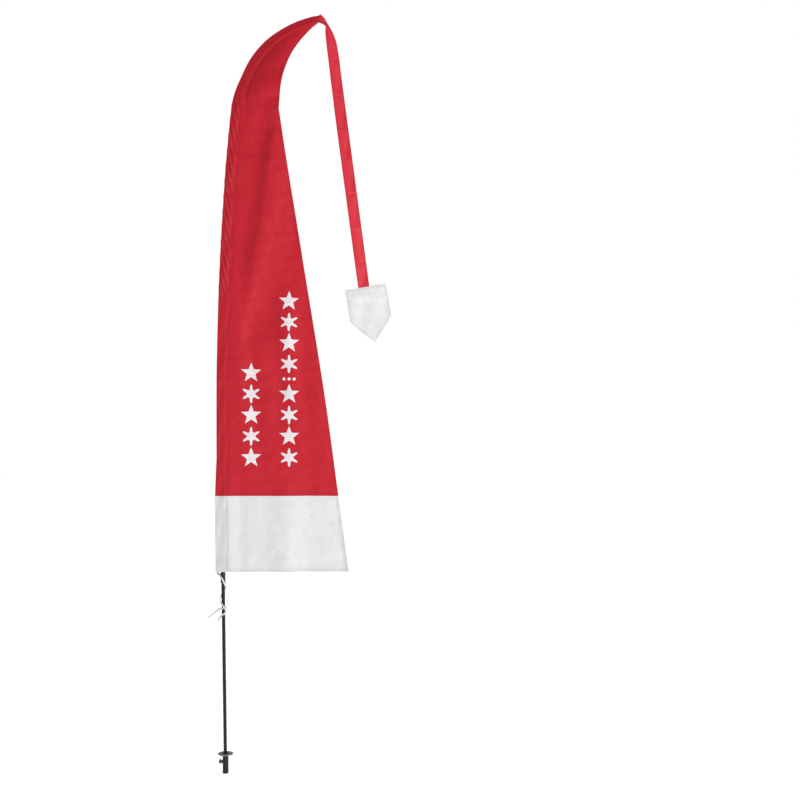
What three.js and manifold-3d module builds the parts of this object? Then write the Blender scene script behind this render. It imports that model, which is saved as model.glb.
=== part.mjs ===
// A feather flag: a tapering cloth banner on a four-piece sprung pole, standing in a steel ground stake.
// Millimetres. +Z is up and +X runs from the pole towards the fly edge; the cloth hangs in the plane Y = 0.
// The origin is on the stake's axis at the ground line.
import * as THREE from 'three';
import { mergeVertices } from 'three/addons/utils/BufferGeometryUtils.js';
import Module from 'manifold-3d';

const wasm = await Module();
wasm.setup();

// Space left between two pieces that touch or fit one another
const gap = 0.3;

// Ground stake: a steel tube with a driven point below and a foot disc at its mouth
const stakeRadius = 9.25;
const stakeWall = 1.2;
const stakeTop = 62;
const stakeDepth = 190;
const pointLength = 42;
const pointSpigot = 18;
const pointTipRadius = 1.2;
const discRadius = 24.5;
const discThickness = 3;
const discEdge = 0.8;

// Stop pin: a rivet across the stake on which the pole's foot rests
const pinRadius = 2;
const pinHeadRadius = 3.4;
const pinHeadThickness = 1.4;

// Clamp: a spade-headed thumb screw in a welded nut, pressing the pole from the -X side
const screwHeight = 36;
const screwRadius = 2.5;
const screwNeck = 0.7;
const nutRadius = 5.6;
const nutThickness = 1.6;
const knobReach = 9.5;
const knobHeight = 15;
const knobThickness = 6;
const knobBevel = 1.2;
const knobSocket = 5;

// Pole: three tubes and a solid tapering whip, joined by ferrules; stations are measured along its axis
const footDepth = 12;
const sectionLength = 643;
const whipLength = 579;
const jointGap = 1;
const lowerRadius = 5.5;
const middleRadius = 4.75;
const upperRadius = 4;
const whipRadius = 3.2;
const whipTipRadius = 1.6;
const tubeWall = 1.5;
const ferruleLength = 60;
const ferruleWall = 2;
const capThickness = 3;
const capSpigot = 12;
const tipCapRadius = 3.6;
const tipCapLength = 16;

// The bend of the pole: it leans away from the flag in its loose socket, and the cloth draws its whip over
const poleLean = THREE.MathUtils.degToRad(0.75);
const straightLength = 600;
const uprightStation = 1150;
const whipStraight = 183;
const whipLean = THREE.MathUtils.degToRad(5.4);
const tipLean = THREE.MathUtils.degToRad(76);

// Flag: a white band below and a red panel above, each with its own pole sleeve along the hoist
const hemAboveJoint = 6;
const bandHeight = 240;
const clothThickness = 1;
const sleeveWall = 0.8;
const sleeveWidth = 42;
const sleeveTipWidth = 25;
const sleeveEase = 1;
const sleeveTipEase = 2.1;
const bandHoistReach = 22;
const panelHoistReach = 16.5;
const tipHoistReach = 13;
const hoistNarrowing = 120;
const hemWidth = 398;
const seamWidth = 367;
const bellyWidth = 311.5;
const bellyRise = 640;
const shoulderWidth = 233;
const shoulderRise = 1050;
const tipWidth = 17;
const pocketLength = 22;

// The fly edge above its kink, as width from the pole and distance down the pole from its tip
const kinkDrop = 388;
const kinkWidth = 137.5;
const flyTop = [
  { drop: 324, width: 131 },
  { drop: 209, width: 104 },
  { drop: 109, width: 67.5 },
  { drop: 26, width: 31 },
];

// Tail: a folded head, a long ribbon and a five-sided pennant, each pair joined by a line of stitching
const tailTilt = THREE.MathUtils.degToRad(7.6);
const tailLength = 866;
const ribbonWidth = 34.5;
const ribbonOffset = 5;
const ribbonShoulder = 115;
const ribbonTaper = 2.5;
const headLength = 30;
const headLeft = 5;
const headRight = 11;
const headFlare = 0.36;
const headThickness = 2.4;
const headGap = 3;
const hangReach = 8;
const foldGap = 1.6;
const pennantTilt = THREE.MathUtils.degToRad(9.7);
const pennantWidth = 131;
const pennantSide = 104;
const pennantHeight = 177;
const pennantOverhang = 43;
const pennantThickness = 1.6;
const tabLength = 26;
const tabThickness = 0.8;

// Tie tape: two strands sewn to the foot of the sleeve and wound round the pole
const tapeRadius = 1.5;
const tapeSides = 8;

const steel = new THREE.MeshStandardMaterial({ color: 0x2a2d28, roughness: 0.5, metalness: 0.7 });
const zincSteel = new THREE.MeshStandardMaterial({ color: 0x777977, roughness: 0.45, metalness: 0.8 });
const blackTube = new THREE.MeshStandardMaterial({ color: 0x1f1e1e, roughness: 0.4, metalness: 0 });
const blackPlastic = new THREE.MeshStandardMaterial({ color: 0x232323, roughness: 0.6, metalness: 0 });
const knobPlastic = new THREE.MeshStandardMaterial({ color: 0x42403a, roughness: 0.6, metalness: 0 });
const redCloth = new THREE.MeshStandardMaterial({ color: 0xc82f3a, roughness: 0.7, metalness: 0 });
const whiteCloth = new THREE.MeshStandardMaterial({ color: 0xe5e8e5, roughness: 0.8, metalness: 0 });
const tapeCloth = new THREE.MeshStandardMaterial({ color: 0xeceae6, roughness: 0.85, metalness: 0 });

const flag = new THREE.Group();

function addMesh(parent, name, geometry, material) {
  const mesh = new THREE.Mesh(geometry, material);
  mesh.name = name;
  parent.add(mesh);
  return mesh;
}

// Straight-line reading of a list of [position, value] stations
function readStations(stations, position) {
  let previous = stations[0];
  for (const station of stations) {
    if (position < station[0]) {
      const share = station === previous ? 0 : (position - previous[0]) / (station[0] - previous[0]);
      return previous[1] + (station[1] - previous[1]) * share;
    }
    previous = station;
  }
  return previous[1];
}

// ---- The pole's line -------------------------------------------------------------------------------

const lowerJoint = sectionLength - footDepth;
const middleJoint = lowerJoint + sectionLength;
const upperJoint = middleJoint + sectionLength;
const poleTip = upperJoint + whipLength;
const hemStation = lowerJoint + hemAboveJoint;
const seamStation = hemStation + bandHeight;
const kinkStation = poleTip - kinkDrop;

// Lean of the pole's axis from upright, positive towards the fly edge
const leanStations = [
  [straightLength, -poleLean],
  [uprightStation, 0],
  [upperJoint + whipStraight, whipLean],
  [poleTip, tipLean],
];

// The axis is walked in short steps, each in the direction of its own lean
const lineStep = 2;
const linePoints = [{ x: 0, z: 0 }];
for (let station = lineStep / 2; station < poleTip + 60; station += lineStep) {
  const lean = readStations(leanStations, station);
  const last = linePoints[linePoints.length - 1];
  linePoints.push({ x: last.x + lineStep * Math.sin(lean), z: last.z + lineStep * Math.cos(lean) });
}

// The point at a station of the pole, and at a width from its axis towards the fly edge
function poleSpot(station, width = 0) {
  const lean = readStations(leanStations, station);
  let x = station * Math.sin(lean);
  let z = station * Math.cos(lean);
  if (station > 0) {
    const index = Math.min(Math.floor(station / lineStep), linePoints.length - 2);
    const share = station / lineStep - index;
    const low = linePoints[index];
    const high = linePoints[index + 1];
    x = low.x + (high.x - low.x) * share;
    z = low.z + (high.z - low.z) * share;
  }
  return { x: x + width * Math.cos(lean), z: z - width * Math.sin(lean) };
}

// A geometry made straight, with Z as the station and X as the width, is bent to the pole's line
function bendToPole(geometry) {
  const position = geometry.attributes.position;
  for (let i = 0; i < position.count; i += 1) {
    const spot = poleSpot(position.getZ(i), position.getX(i));
    position.setXYZ(i, spot.x, position.getY(i), spot.z);
  }
  return geometry;
}

// A solid of revolution about +Z from [radius, height] pairs
function turned(profile, sides) {
  const geometry = new THREE.LatheGeometry(profile.map(([r, h]) => new THREE.Vector2(r, h)), sides);
  return geometry.rotateX(Math.PI / 2);
}

// The heights of a wall cut into short steps, so that it can be bent
function steps(low, high, count) {
  return Array.from({ length: count + 1 }, (_, i) => low + ((high - low) * i) / count);
}

// ---- Booleans --------------------------------------------------------------------------------------

function toManifold(geometry) {
  const bare = geometry.clone();
  bare.deleteAttribute('normal');
  bare.deleteAttribute('uv');
  const merged = mergeVertices(bare, 1e-4);
  return new wasm.Manifold(new wasm.Mesh({
    numProp: 3,
    vertProperties: new Float32Array(merged.attributes.position.array),
    triVerts: new Uint32Array(merged.index.array),
  }));
}

function toGeometry(solid) {
  const mesh = solid.getMesh();
  const geometry = new THREE.BufferGeometry();
  geometry.setAttribute('position', new THREE.BufferAttribute(new Float32Array(mesh.vertProperties), 3));
  geometry.setIndex(new THREE.BufferAttribute(new Uint32Array(mesh.triVerts), 1));
  return geometry;
}

function cut(geometry, ...tools) {
  const solid = tools.reduce((left, tool) => left.subtract(toManifold(tool)), toManifold(geometry));
  return toGeometry(solid);
}

// ---- Ground stake ----------------------------------------------------------------------------------

const stakeBore = stakeRadius - stakeWall;
const stopStation = -footDepth - gap - pinRadius;

function stakeTube() {
  const wall = turned([
    [stakeBore, -stakeDepth],
    [stakeRadius, -stakeDepth],
    [stakeRadius, stakeTop],
    [stakeBore, stakeTop],
    [stakeBore, -stakeDepth],
  ], 24);
  const pinHole = new THREE.CylinderGeometry(pinRadius + gap, pinRadius + gap, 3 * stakeRadius, 12);
  pinHole.translate(0, 0, stopStation);
  const screwHole = new THREE.CylinderGeometry(screwRadius + gap, screwRadius + gap, 2 * stakeRadius, 12);
  screwHole.rotateZ(Math.PI / 2);
  screwHole.translate(-stakeRadius, 0, screwHeight);
  return cut(wall, pinHole, screwHole);
}

function stakePoint() {
  return turned([
    [0, -stakeDepth - pointLength],
    [pointTipRadius, -stakeDepth - pointLength],
    [stakeRadius, -stakeDepth - gap],
    [stakeBore - gap, -stakeDepth - gap],
    [stakeBore - gap, -stakeDepth + pointSpigot],
    [0, -stakeDepth + pointSpigot],
  ], 24);
}

function footDisc() {
  const low = stakeTop - discThickness;
  const inner = stakeRadius + gap;
  return turned([
    [inner, low],
    [discRadius - discEdge, low],
    [discRadius, low + discEdge],
    [discRadius, stakeTop - discEdge],
    [discRadius - discEdge, stakeTop],
    [inner, stakeTop],
    [inner, low],
  ], 32);
}

function stopPin() {
  const shankEnd = stakeRadius + gap;
  const headEnd = shankEnd + pinHeadThickness;
  const pin = turned([
    [0, -headEnd],
    [pinHeadRadius, -headEnd],
    [pinHeadRadius, -shankEnd],
    [pinRadius, -shankEnd],
    [pinRadius, shankEnd],
    [pinHeadRadius, shankEnd],
    [pinHeadRadius, headEnd],
    [0, headEnd],
  ], 12);
  pin.rotateX(Math.PI / 2);
  return pin.translate(0, 0, stopStation);
}

// Pieces of the clamp are turned about their own axis and then laid along -X at the screw's height
function layAlongClamp(geometry) {
  geometry.rotateY(-Math.PI / 2);
  return geometry.translate(0, 0, screwHeight);
}

const nutOuter = stakeRadius + gap + nutThickness;
const knobInner = nutOuter + screwNeck;

function clampNut() {
  const seat = stakeRadius - 1.5;
  const nut = turned([[0, seat], [nutRadius, seat], [nutRadius, nutOuter], [0, nutOuter]], 6);
  const bore = new THREE.CylinderGeometry(screwRadius + gap, screwRadius + gap, 4 * nutOuter, 12);
  bore.rotateX(Math.PI / 2);
  const tubeSpace = new THREE.CylinderGeometry(stakeRadius + gap, stakeRadius + gap, 4 * nutRadius, 48);
  tubeSpace.rotateX(Math.PI / 2);
  tubeSpace.translate(0, 0, screwHeight);
  return cut(layAlongClamp(nut), layAlongClamp(bore), tubeSpace);
}

function clampScrew() {
  const poleSide = lowerRadius + gap + Math.abs(poleSpot(screwHeight).x);
  return layAlongClamp(turned([
    [0, poleSide],
    [screwRadius, poleSide],
    [screwRadius, knobInner + knobSocket],
    [0, knobInner + knobSocket],
  ], 12));
}

function clampKnob() {
  const outline = new THREE.Shape();
  outline.absellipse(knobInner + knobReach / 2, 0, knobReach / 2 - knobBevel, knobHeight / 2 - knobBevel,
    0, 2 * Math.PI);
  const paddle = new THREE.ExtrudeGeometry(outline, {
    depth: knobThickness - 2 * knobBevel,
    bevelThickness: knobBevel,
    bevelSize: knobBevel,
    bevelSegments: 2,
    curveSegments: 12,
  });
  paddle.translate(0, 0, knobBevel - knobThickness / 2);
  paddle.rotateX(Math.PI / 2);
  paddle.rotateZ(Math.PI);
  paddle.translate(0, 0, screwHeight);
  const socketRadius = screwRadius + gap;
  const socketEnd = knobInner + knobSocket + gap;
  const socket = new THREE.CylinderGeometry(socketRadius, socketRadius, 2 * knobSocket, 12);
  socket.rotateZ(Math.PI / 2);
  socket.translate(-(socketEnd - knobSocket), 0, screwHeight);
  return cut(paddle, socket);
}

addMesh(flag, 'stake_tube', stakeTube(), steel);
addMesh(flag, 'stake_point', stakePoint(), steel);
addMesh(flag, 'foot_disc', footDisc(), zincSteel);
addMesh(flag, 'stop_pin', stopPin(), zincSteel);
addMesh(flag, 'clamp_nut', clampNut(), steel);
addMesh(flag, 'clamp_screw', clampScrew(), zincSteel);
addMesh(flag, 'clamp_knob', clampKnob(), knobPlastic);

// ---- Pole ------------------------------------------------------------------------------------------

function poleTube(low, high, radius, count) {
  const bore = radius - tubeWall;
  const outside = steps(low, high, count).map((height) => [radius, height]);
  const inside = steps(high, low, count).map((height) => [bore, height]);
  return bendToPole(turned([...outside, ...inside, [radius, low]], 12));
}

// A ferrule has one bore for the tube below its joint and a narrower one for the tube above
function ferrule(joint, radiusBelow, radiusAbove) {
  const low = joint - ferruleLength / 2;
  const high = joint + ferruleLength / 2;
  const outside = radiusBelow + gap + ferruleWall;
  const profile = [
    ...steps(low, high, 3).map((height) => [outside, height]),
    [radiusAbove + gap, high],
    [radiusAbove + gap, joint],
    [radiusBelow + gap, joint],
    [radiusBelow + gap, low],
    [outside, low],
  ];
  return bendToPole(turned(profile, 16));
}

function footCap() {
  const low = -footDepth;
  const rim = low + capThickness;
  const plug = lowerRadius - tubeWall - gap;
  return bendToPole(turned([
    [0, low],
    [lowerRadius - 1, low],
    [lowerRadius, low + 1],
    [lowerRadius, rim],
    [plug, rim],
    [plug, rim + capSpigot],
    [0, rim + capSpigot],
  ], 12));
}

function whip() {
  const low = upperJoint + jointGap / 2;
  const side = steps(low, poleTip, 24).map((height) => {
    const share = (height - low) / (poleTip - low);
    return [whipRadius + (whipTipRadius - whipRadius) * share, height];
  });
  return bendToPole(turned([[0, low], ...side, [0, poleTip]], 10));
}

function tipCap() {
  const end = poleTip + gap + 1.6;
  const low = end - tipCapLength;
  const bore = whipTipRadius + 0.1 + gap;
  return bendToPole(turned([
    [bore, low],
    [tipCapRadius, low],
    [tipCapRadius, (low + end) / 2],
    [tipCapRadius, end - 1.5],
    [tipCapRadius - 1.5, end],
    [0, end],
    [0, poleTip + gap],
    [bore, poleTip + gap],
    [bore, low],
  ], 12));
}

const halfJoint = jointGap / 2;
const footTop = -footDepth + capThickness + gap;
addMesh(flag, 'pole_foot_cap', footCap(), blackPlastic);
addMesh(flag, 'pole_lower', poleTube(footTop, lowerJoint - halfJoint, lowerRadius, 4), blackTube);
addMesh(flag, 'ferrule_lower', ferrule(lowerJoint, lowerRadius, middleRadius), steel);
addMesh(flag, 'pole_middle', poleTube(lowerJoint + halfJoint, middleJoint - halfJoint, middleRadius, 8),
  blackTube);
addMesh(flag, 'ferrule_middle', ferrule(middleJoint, middleRadius, upperRadius), steel);
addMesh(flag, 'pole_upper', poleTube(middleJoint + halfJoint, upperJoint - halfJoint, upperRadius, 8),
  blackTube);
addMesh(flag, 'ferrule_upper', ferrule(upperJoint, upperRadius, whipRadius), steel);
addMesh(flag, 'pole_whip', whip(), blackTube);
addMesh(flag, 'whip_tip_cap', tipCap(), blackPlastic);

// ---- Sleeve ----------------------------------------------------------------------------------------

const hoistStations = [
  [hemStation, bandHoistReach],
  [seamStation, bandHoistReach],
  [seamStation + hoistNarrowing, panelHoistReach],
  [upperJoint, panelHoistReach],
  [poleTip, tipHoistReach],
];
const widthStations = [[upperJoint, sleeveWidth], [poleTip, sleeveTipWidth]];

// The sleeve is deep enough to pass over the largest ferrule, and over the whip's cap at its tip
const largestFerrule = lowerRadius + gap + ferruleWall;
const depthStations = [
  [upperJoint, largestFerrule + sleeveEase + sleeveWall],
  [poleTip, tipCapRadius + sleeveTipEase + sleeveWall],
];

function hoistReach(station) {
  return readStations(hoistStations, station);
}

function flyReach(station) {
  return readStations(widthStations, station) - hoistReach(station);
}

// A unit ring, to be stretched at each station to the sleeve's width and depth, less an inset
function sleeveSection(hollow) {
  const section = new THREE.Shape();
  section.absarc(0, 0, 1, 0, 2 * Math.PI);
  if (hollow) {
    const inside = new THREE.Path();
    inside.absarc(0, 0, 0.5, 0, 2 * Math.PI);
    section.holes.push(inside);
  }
  return section;
}

function sleeve(low, high, count, hollow = true) {
  const geometry = new THREE.ExtrudeGeometry(sleeveSection(hollow), {
    depth: high - low,
    steps: count,
    curveSegments: 9,
    bevelEnabled: false,
  });
  geometry.translate(0, 0, low);
  const position = geometry.attributes.position;
  for (let i = 0; i < position.count; i += 1) {
    const station = position.getZ(i);
    const ring = Math.hypot(position.getX(i), position.getY(i));
    const inset = ring < 0.75 ? sleeveWall : 0;
    const middle = (flyReach(station) - hoistReach(station)) / 2;
    const halfWidth = (flyReach(station) + hoistReach(station)) / 2 - inset;
    const halfDepth = readStations(depthStations, station) - inset;
    position.setX(i, middle + (position.getX(i) / ring) * halfWidth);
    position.setY(i, (position.getY(i) / ring) * halfDepth);
  }
  return bendToPole(geometry);
}

// The red sleeve and the panel sewn to it are bent in the same short steps
const redStart = seamStation + gap / 2;
const pocketStation = poleTip + gap + 1.6 + gap;
const redSteps = 36;
addMesh(flag, 'sleeve_white', sleeve(hemStation, seamStation - gap / 2, 4), whiteCloth);
addMesh(flag, 'sleeve_red', sleeve(redStart, pocketStation, redSteps), redCloth);
addMesh(flag, 'tip_pocket', sleeve(pocketStation + gap, pocketStation + gap + pocketLength, 1, false),
  redCloth);

// ---- Flag panels -----------------------------------------------------------------------------------

const flyLow = new THREE.CatmullRomCurve3([
  new THREE.Vector3(hemWidth, hemStation, 0),
  new THREE.Vector3(seamWidth, seamStation, 0),
  new THREE.Vector3(bellyWidth, hemStation + bellyRise, 0),
  new THREE.Vector3(shoulderWidth, hemStation + shoulderRise, 0),
  new THREE.Vector3(kinkWidth, kinkStation, 0),
], false, 'centripetal');
const flyHigh = new THREE.CatmullRomCurve3([
  new THREE.Vector3(kinkWidth, kinkStation, 0),
  ...flyTop.map(({ drop, width }) => new THREE.Vector3(width, poleTip - drop, 0)),
  new THREE.Vector3(tipWidth, pocketStation, 0),
], false, 'centripetal');

// The station at which a level line through the pole's own station meets a width
function levelStation(station, width) {
  return station + width * Math.tan(readStations(leanStations, station));
}

// A flat cloth plate from [width, station] points, bent to the pole's line in its own plane
function clothPlate(outline, thickness) {
  const shape = new THREE.Shape(outline.map(([width, station]) => {
    const spot = poleSpot(station, width);
    return new THREE.Vector2(spot.x, spot.z);
  }));
  return upright(new THREE.ExtrudeGeometry(shape, { depth: thickness, bevelEnabled: false }), thickness);
}

// Turns a plate drawn in X and Y to stand in X and Z, centred on Y = 0
function upright(geometry, thickness) {
  geometry.rotateX(Math.PI / 2);
  return geometry.translate(0, thickness / 2, 0);
}

function seamEdge(station, width) {
  return [width, levelStation(station, width)];
}

function bandOutline() {
  const top = seamStation - gap / 2;
  return [
    seamEdge(hemStation, flyReach(hemStation) + gap),
    seamEdge(hemStation, hemWidth),
    seamEdge(top, seamWidth),
    seamEdge(top, flyReach(top) + gap),
  ];
}

function panelOutline() {
  const seamPoint = seamEdge(redStart, seamWidth);
  const above = ([, station]) => station > seamPoint[1] + 10;
  const lowEdge = flyLow.getPoints(24).map((point) => [point.x, point.y]).filter(above);
  const highEdge = flyHigh.getPoints(20).map((point) => [point.x, point.y]).slice(1);
  const hoist = steps(pocketStation, redStart, redSteps).map((station) => [flyReach(station) + gap, station]);
  return [seamPoint, ...lowEdge, ...highEdge, ...hoist];
}

addMesh(flag, 'flag_band', clothPlate(bandOutline(), clothThickness), whiteCloth);
addMesh(flag, 'flag_panel', clothPlate(panelOutline(), clothThickness), redCloth);

// ---- Tail ------------------------------------------------------------------------------------------

function plateFrom(points, thickness) {
  const shape = new THREE.Shape(points.map(([across, down]) => new THREE.Vector2(across, -down)));
  return upright(new THREE.ExtrudeGeometry(shape, { depth: thickness, bevelEnabled: false }), thickness);
}

// The tail's own frame hangs from the end of the tip pocket, with -Z down the ribbon
const pocketEnd = pocketStation + gap + pocketLength;
const tailHang = poleSpot(pocketEnd + headGap, -hangReach);
const tail = new THREE.Group();
tail.position.set(tailHang.x, 0, tailHang.z);
tail.rotation.y = -tailTilt;
flag.add(tail);

const ribbonRight = ribbonOffset + ribbonWidth;

function tailHead() {
  return plateFrom([
    [headLeft, 0],
    [headRight, 0],
    [headRight + headLength * headFlare, headLength],
    [ribbonOffset + ribbonTaper, headLength],
  ], headThickness);
}

function tailRibbon() {
  const top = headLength + foldGap;
  return plateFrom([
    [ribbonOffset + ribbonTaper, top],
    [headRight + top * headFlare, top],
    [ribbonRight - 7.5, 61],
    [ribbonRight - 2.5, 81],
    [ribbonRight, ribbonShoulder],
    [ribbonRight, tailLength],
    [ribbonOffset, tailLength],
    [ribbonOffset, ribbonShoulder],
  ], clothThickness);
}

addMesh(tail, 'tail_head', tailHead(), redCloth);
addMesh(tail, 'tail_ribbon', tailRibbon(), redCloth);

const pennantGroup = new THREE.Group();
pennantGroup.position.set(ribbonOffset + ribbonWidth / 2, 0, -(tailLength + foldGap / 2));
pennantGroup.rotation.y = -(pennantTilt - tailTilt);
tail.add(pennantGroup);

// The pennant's frame has its origin in the middle of the ribbon's end
const pennantLeft = -(pennantOverhang + ribbonWidth / 2);
const ribbonDip = (ribbonWidth / 2) * Math.tan(pennantTilt - tailTilt) + foldGap / 2;

function pennantCloth() {
  return plateFrom([
    [pennantLeft, ribbonDip],
    [pennantLeft + pennantWidth, ribbonDip],
    [pennantLeft + pennantWidth, ribbonDip + pennantSide],
    [pennantLeft + pennantWidth / 2, ribbonDip + pennantHeight],
    [pennantLeft, ribbonDip + pennantSide],
  ], pennantThickness);
}

function pennantTab() {
  const tab = plateFrom([
    [-ribbonWidth / 2, ribbonDip + gap],
    [ribbonWidth / 2, ribbonDip + gap],
    [ribbonWidth / 2, ribbonDip + gap + tabLength],
    [-ribbonWidth / 2, ribbonDip + gap + tabLength],
  ], tabThickness);
  return tab.translate(0, (pennantThickness + tabThickness) / 2 + gap, 0);
}

addMesh(pennantGroup, 'pennant', pennantCloth(), whiteCloth);
addMesh(pennantGroup, 'pennant_tab', pennantTab(), redCloth);

// ---- Tie tape --------------------------------------------------------------------------------------

// Each strand's route, from the foot of the sleeve to its free end
const frontStrand = [
  [-27, -1, 633], [-22, -6, 629.5], [-16, -10, 624], [-9, -11.5, 615], [-3, -10.5, 603], [1.2, -7, 592],
  [2.6, -2.5, 580], [2, 0, 568], [1.6, 0, 556], [4.5, -1.5, 547], [8.4, -3, 541], [9.6, -4.2, 534.5],
  [6.5, -6.6, 528], [1, -8.6, 524], [-6, -9, 522], [-12.5, -8, 521.5], [-19, -6, 519.5], [-28, -4, 513],
  [-41, -3, 502.5], [-54, -3, 492],
];
const backStrand = [
  [-25, 3, 633], [-20, 8, 627], [-13, 11.5, 618], [-6, 11.5, 606], [-3, 9.5, 592], [-6, 8.2, 577],
  [-12, 7, 565], [-15.5, 2.5, 555], [-15.8, -2.5, 547], [-13.5, -8, 540], [-8.5, -11.6, 533],
  [-2.5, -13, 526], [2, -13, 519], [3, -12.5, 512], [-1, -11.5, 506], [-7, -10, 502.5], [-13, -8, 497.5],
  [-18.5, -6.5, 490], [-22.5, -6, 482],
];

function tape(route) {
  const path = new THREE.CatmullRomCurve3(route.map(([x, y, z]) => new THREE.Vector3(x, y, z)));
  const section = new THREE.Shape(steps(0, tapeSides - 1, tapeSides - 1).map((i) => {
    const angle = (2 * Math.PI * i) / tapeSides;
    return new THREE.Vector2(tapeRadius * Math.cos(angle), tapeRadius * Math.sin(angle));
  }));
  return new THREE.ExtrudeGeometry(section, { extrudePath: path, steps: 36, bevelEnabled: false });
}

addMesh(flag, 'tie_tape_front', tape(frontStrand), tapeCloth);
addMesh(flag, 'tie_tape_back', tape(backStrand), tapeCloth);

export default flag;
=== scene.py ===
import bmesh
import bpy
import numpy as np
from mathutils import Matrix, Vector


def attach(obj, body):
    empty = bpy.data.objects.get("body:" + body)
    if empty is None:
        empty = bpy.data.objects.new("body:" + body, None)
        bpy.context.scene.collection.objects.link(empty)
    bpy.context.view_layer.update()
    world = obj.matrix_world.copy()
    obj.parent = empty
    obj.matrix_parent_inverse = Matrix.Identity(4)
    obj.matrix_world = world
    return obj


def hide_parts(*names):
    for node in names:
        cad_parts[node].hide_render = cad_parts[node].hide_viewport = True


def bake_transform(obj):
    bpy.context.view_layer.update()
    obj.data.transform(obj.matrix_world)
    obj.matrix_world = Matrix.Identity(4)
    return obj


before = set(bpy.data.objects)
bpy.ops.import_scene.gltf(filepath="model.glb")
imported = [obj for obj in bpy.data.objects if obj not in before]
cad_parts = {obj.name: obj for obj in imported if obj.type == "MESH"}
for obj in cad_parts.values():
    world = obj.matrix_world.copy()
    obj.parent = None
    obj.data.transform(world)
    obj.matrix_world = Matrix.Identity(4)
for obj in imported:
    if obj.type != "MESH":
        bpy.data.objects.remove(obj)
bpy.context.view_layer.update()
scene = bpy.context.scene


# ---- Camera, floor and light -------------------------------------------------------------------------
# The flag is looked at square on, from the height of its middle, with the pole left of centre.
# It stands on a plain white floor under an even white sky, with one large soft light on the fly side.
EYE_ACROSS = 0.552
EYE_HEIGHT = 1.180
EYE_DISTANCE = 3.517
FLOOR_RADIUS = 14.0
SKY_LIGHT = 0.31
FLOOR_GLOW = 0.76
SOFTBOX_PLACE = (3.1, -2.5, 1.6)
SOFTBOX_AIM = (0.12, 0.0, 1.3)
SOFTBOX_SIZE = (1.6, 2.6)
SOFTBOX_POWER = 106.0
WHITE = (1.0, 1.0, 1.0, 1.0)

eye = bpy.data.objects.new("eye", bpy.data.cameras.new("eye"))
eye.data.lens = 50.0
eye.data.sensor_width = 36.0
eye.location = (EYE_ACROSS, -EYE_DISTANCE, EYE_HEIGHT)
eye.rotation_euler = (np.pi / 2, 0.0, 0.0)
scene.collection.objects.link(eye)
scene.camera = eye
scene.view_settings.view_transform = "Standard"


def shade(tree, kind, inputs=None, **choices):
    """Adds one shader node. Choices are its settings; an input is a number, a colour or another output."""
    node = tree.nodes.new("ShaderNode" + kind)
    for name, value in choices.items():
        setattr(node, name, value)
    for name, value in (inputs or {}).items():
        if isinstance(value, bpy.types.NodeSocket):
            tree.links.new(value, node.inputs[name])
        else:
            node.inputs[name].default_value = value
    return node.outputs


def blank_material(name):
    """A new material with its nodes cleared, and the tree that they go in."""
    material = bpy.data.materials.new(name)
    material.use_nodes = True
    material.node_tree.nodes.clear()
    return material, material.node_tree


def four_corners(grid):
    """Each four neighbours of a grid, in order round their face."""
    return np.stack([grid[:-1, :-1], grid[:-1, 1:], grid[1:, 1:], grid[1:, :-1]], axis=2)


def mesh_object(name, points, faces):
    """An object in the scene, from points and the numbers of each face's corners."""
    mesh = bpy.data.meshes.new(name)
    mesh.from_pydata(points.reshape(-1, 3).tolist(), [], faces.reshape(-1, 4).tolist())
    made = bpy.data.objects.new(name, mesh)
    scene.collection.objects.link(made)
    return made


def surface(name, points, uv=None, closed=(False, False)):
    """A mesh from a grid of points. Each four neighbours are one face, a closed direction joins its last row
    to its first, and the grid's map gives each corner its place on the flat cloth."""
    rows, columns = points.shape[:2]
    index = np.arange(rows * columns).reshape(rows, columns)
    if closed[0]:
        index = np.vstack([index, index[:1]])
    if closed[1]:
        index = np.hstack([index, index[:, :1]])
    made = mesh_object(name, points, four_corners(index))
    if uv is not None:
        spots = four_corners(uv).astype(np.float32)
        made.data.uv_layers.new(name="cut").data.foreach_set("uv", spots.ravel())
    return made


def joined(*parts):
    """Points from their coordinates, each spread to the shape of them all."""
    return np.stack(np.broadcast_arrays(*parts), axis=-1)


def all_round(count):
    """Even angles round a full turn, as one row."""
    return np.linspace(0, 2 * np.pi, count, endpoint=False)[None, :]


def floor_points():
    """Rings about the origin: radius times the cosine and sine of the angle, at the ground line."""
    radius = np.linspace(0.0, FLOOR_RADIUS, 12)[:, None]
    angle = all_round(96)
    return joined(radius * np.cos(angle), radius * np.sin(angle), 0.0)


def weld(made, outward=True):
    """Merges points that meet, drops faces of no size, and turns the faces of a closed shape outwards."""
    work = bmesh.new()
    work.from_mesh(made.data)
    bmesh.ops.remove_doubles(work, verts=work.verts, dist=1e-7)
    bmesh.ops.dissolve_degenerate(work, edges=work.edges, dist=1e-8)
    if outward:
        bmesh.ops.recalc_face_normals(work, faces=work.faces)
    work.to_mesh(made.data)
    work.free()
    return made


floor = weld(surface("floor", floor_points(), closed=(False, True)), outward=False)
floor_paint, floor_tree = blank_material("floor_paint")
matt = shade(floor_tree, "BsdfDiffuse", {"Color": (0.9, 0.9, 0.9, 1.0)})
lift = shade(floor_tree, "Emission", {"Color": WHITE, "Strength": FLOOR_GLOW})
both = shade(floor_tree, "AddShader", {0: matt["BSDF"], 1: lift["Emission"]})
shade(floor_tree, "OutputMaterial", {"Surface": both["Shader"]})
floor.data.materials.append(floor_paint)


def between(tree, amount, low, high):
    """An amount from 0 to 1 brought to the range from low to high."""
    return shade(tree, "MapRange", {"Value": amount, "To Min": low, "To Max": high})["Result"]


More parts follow.
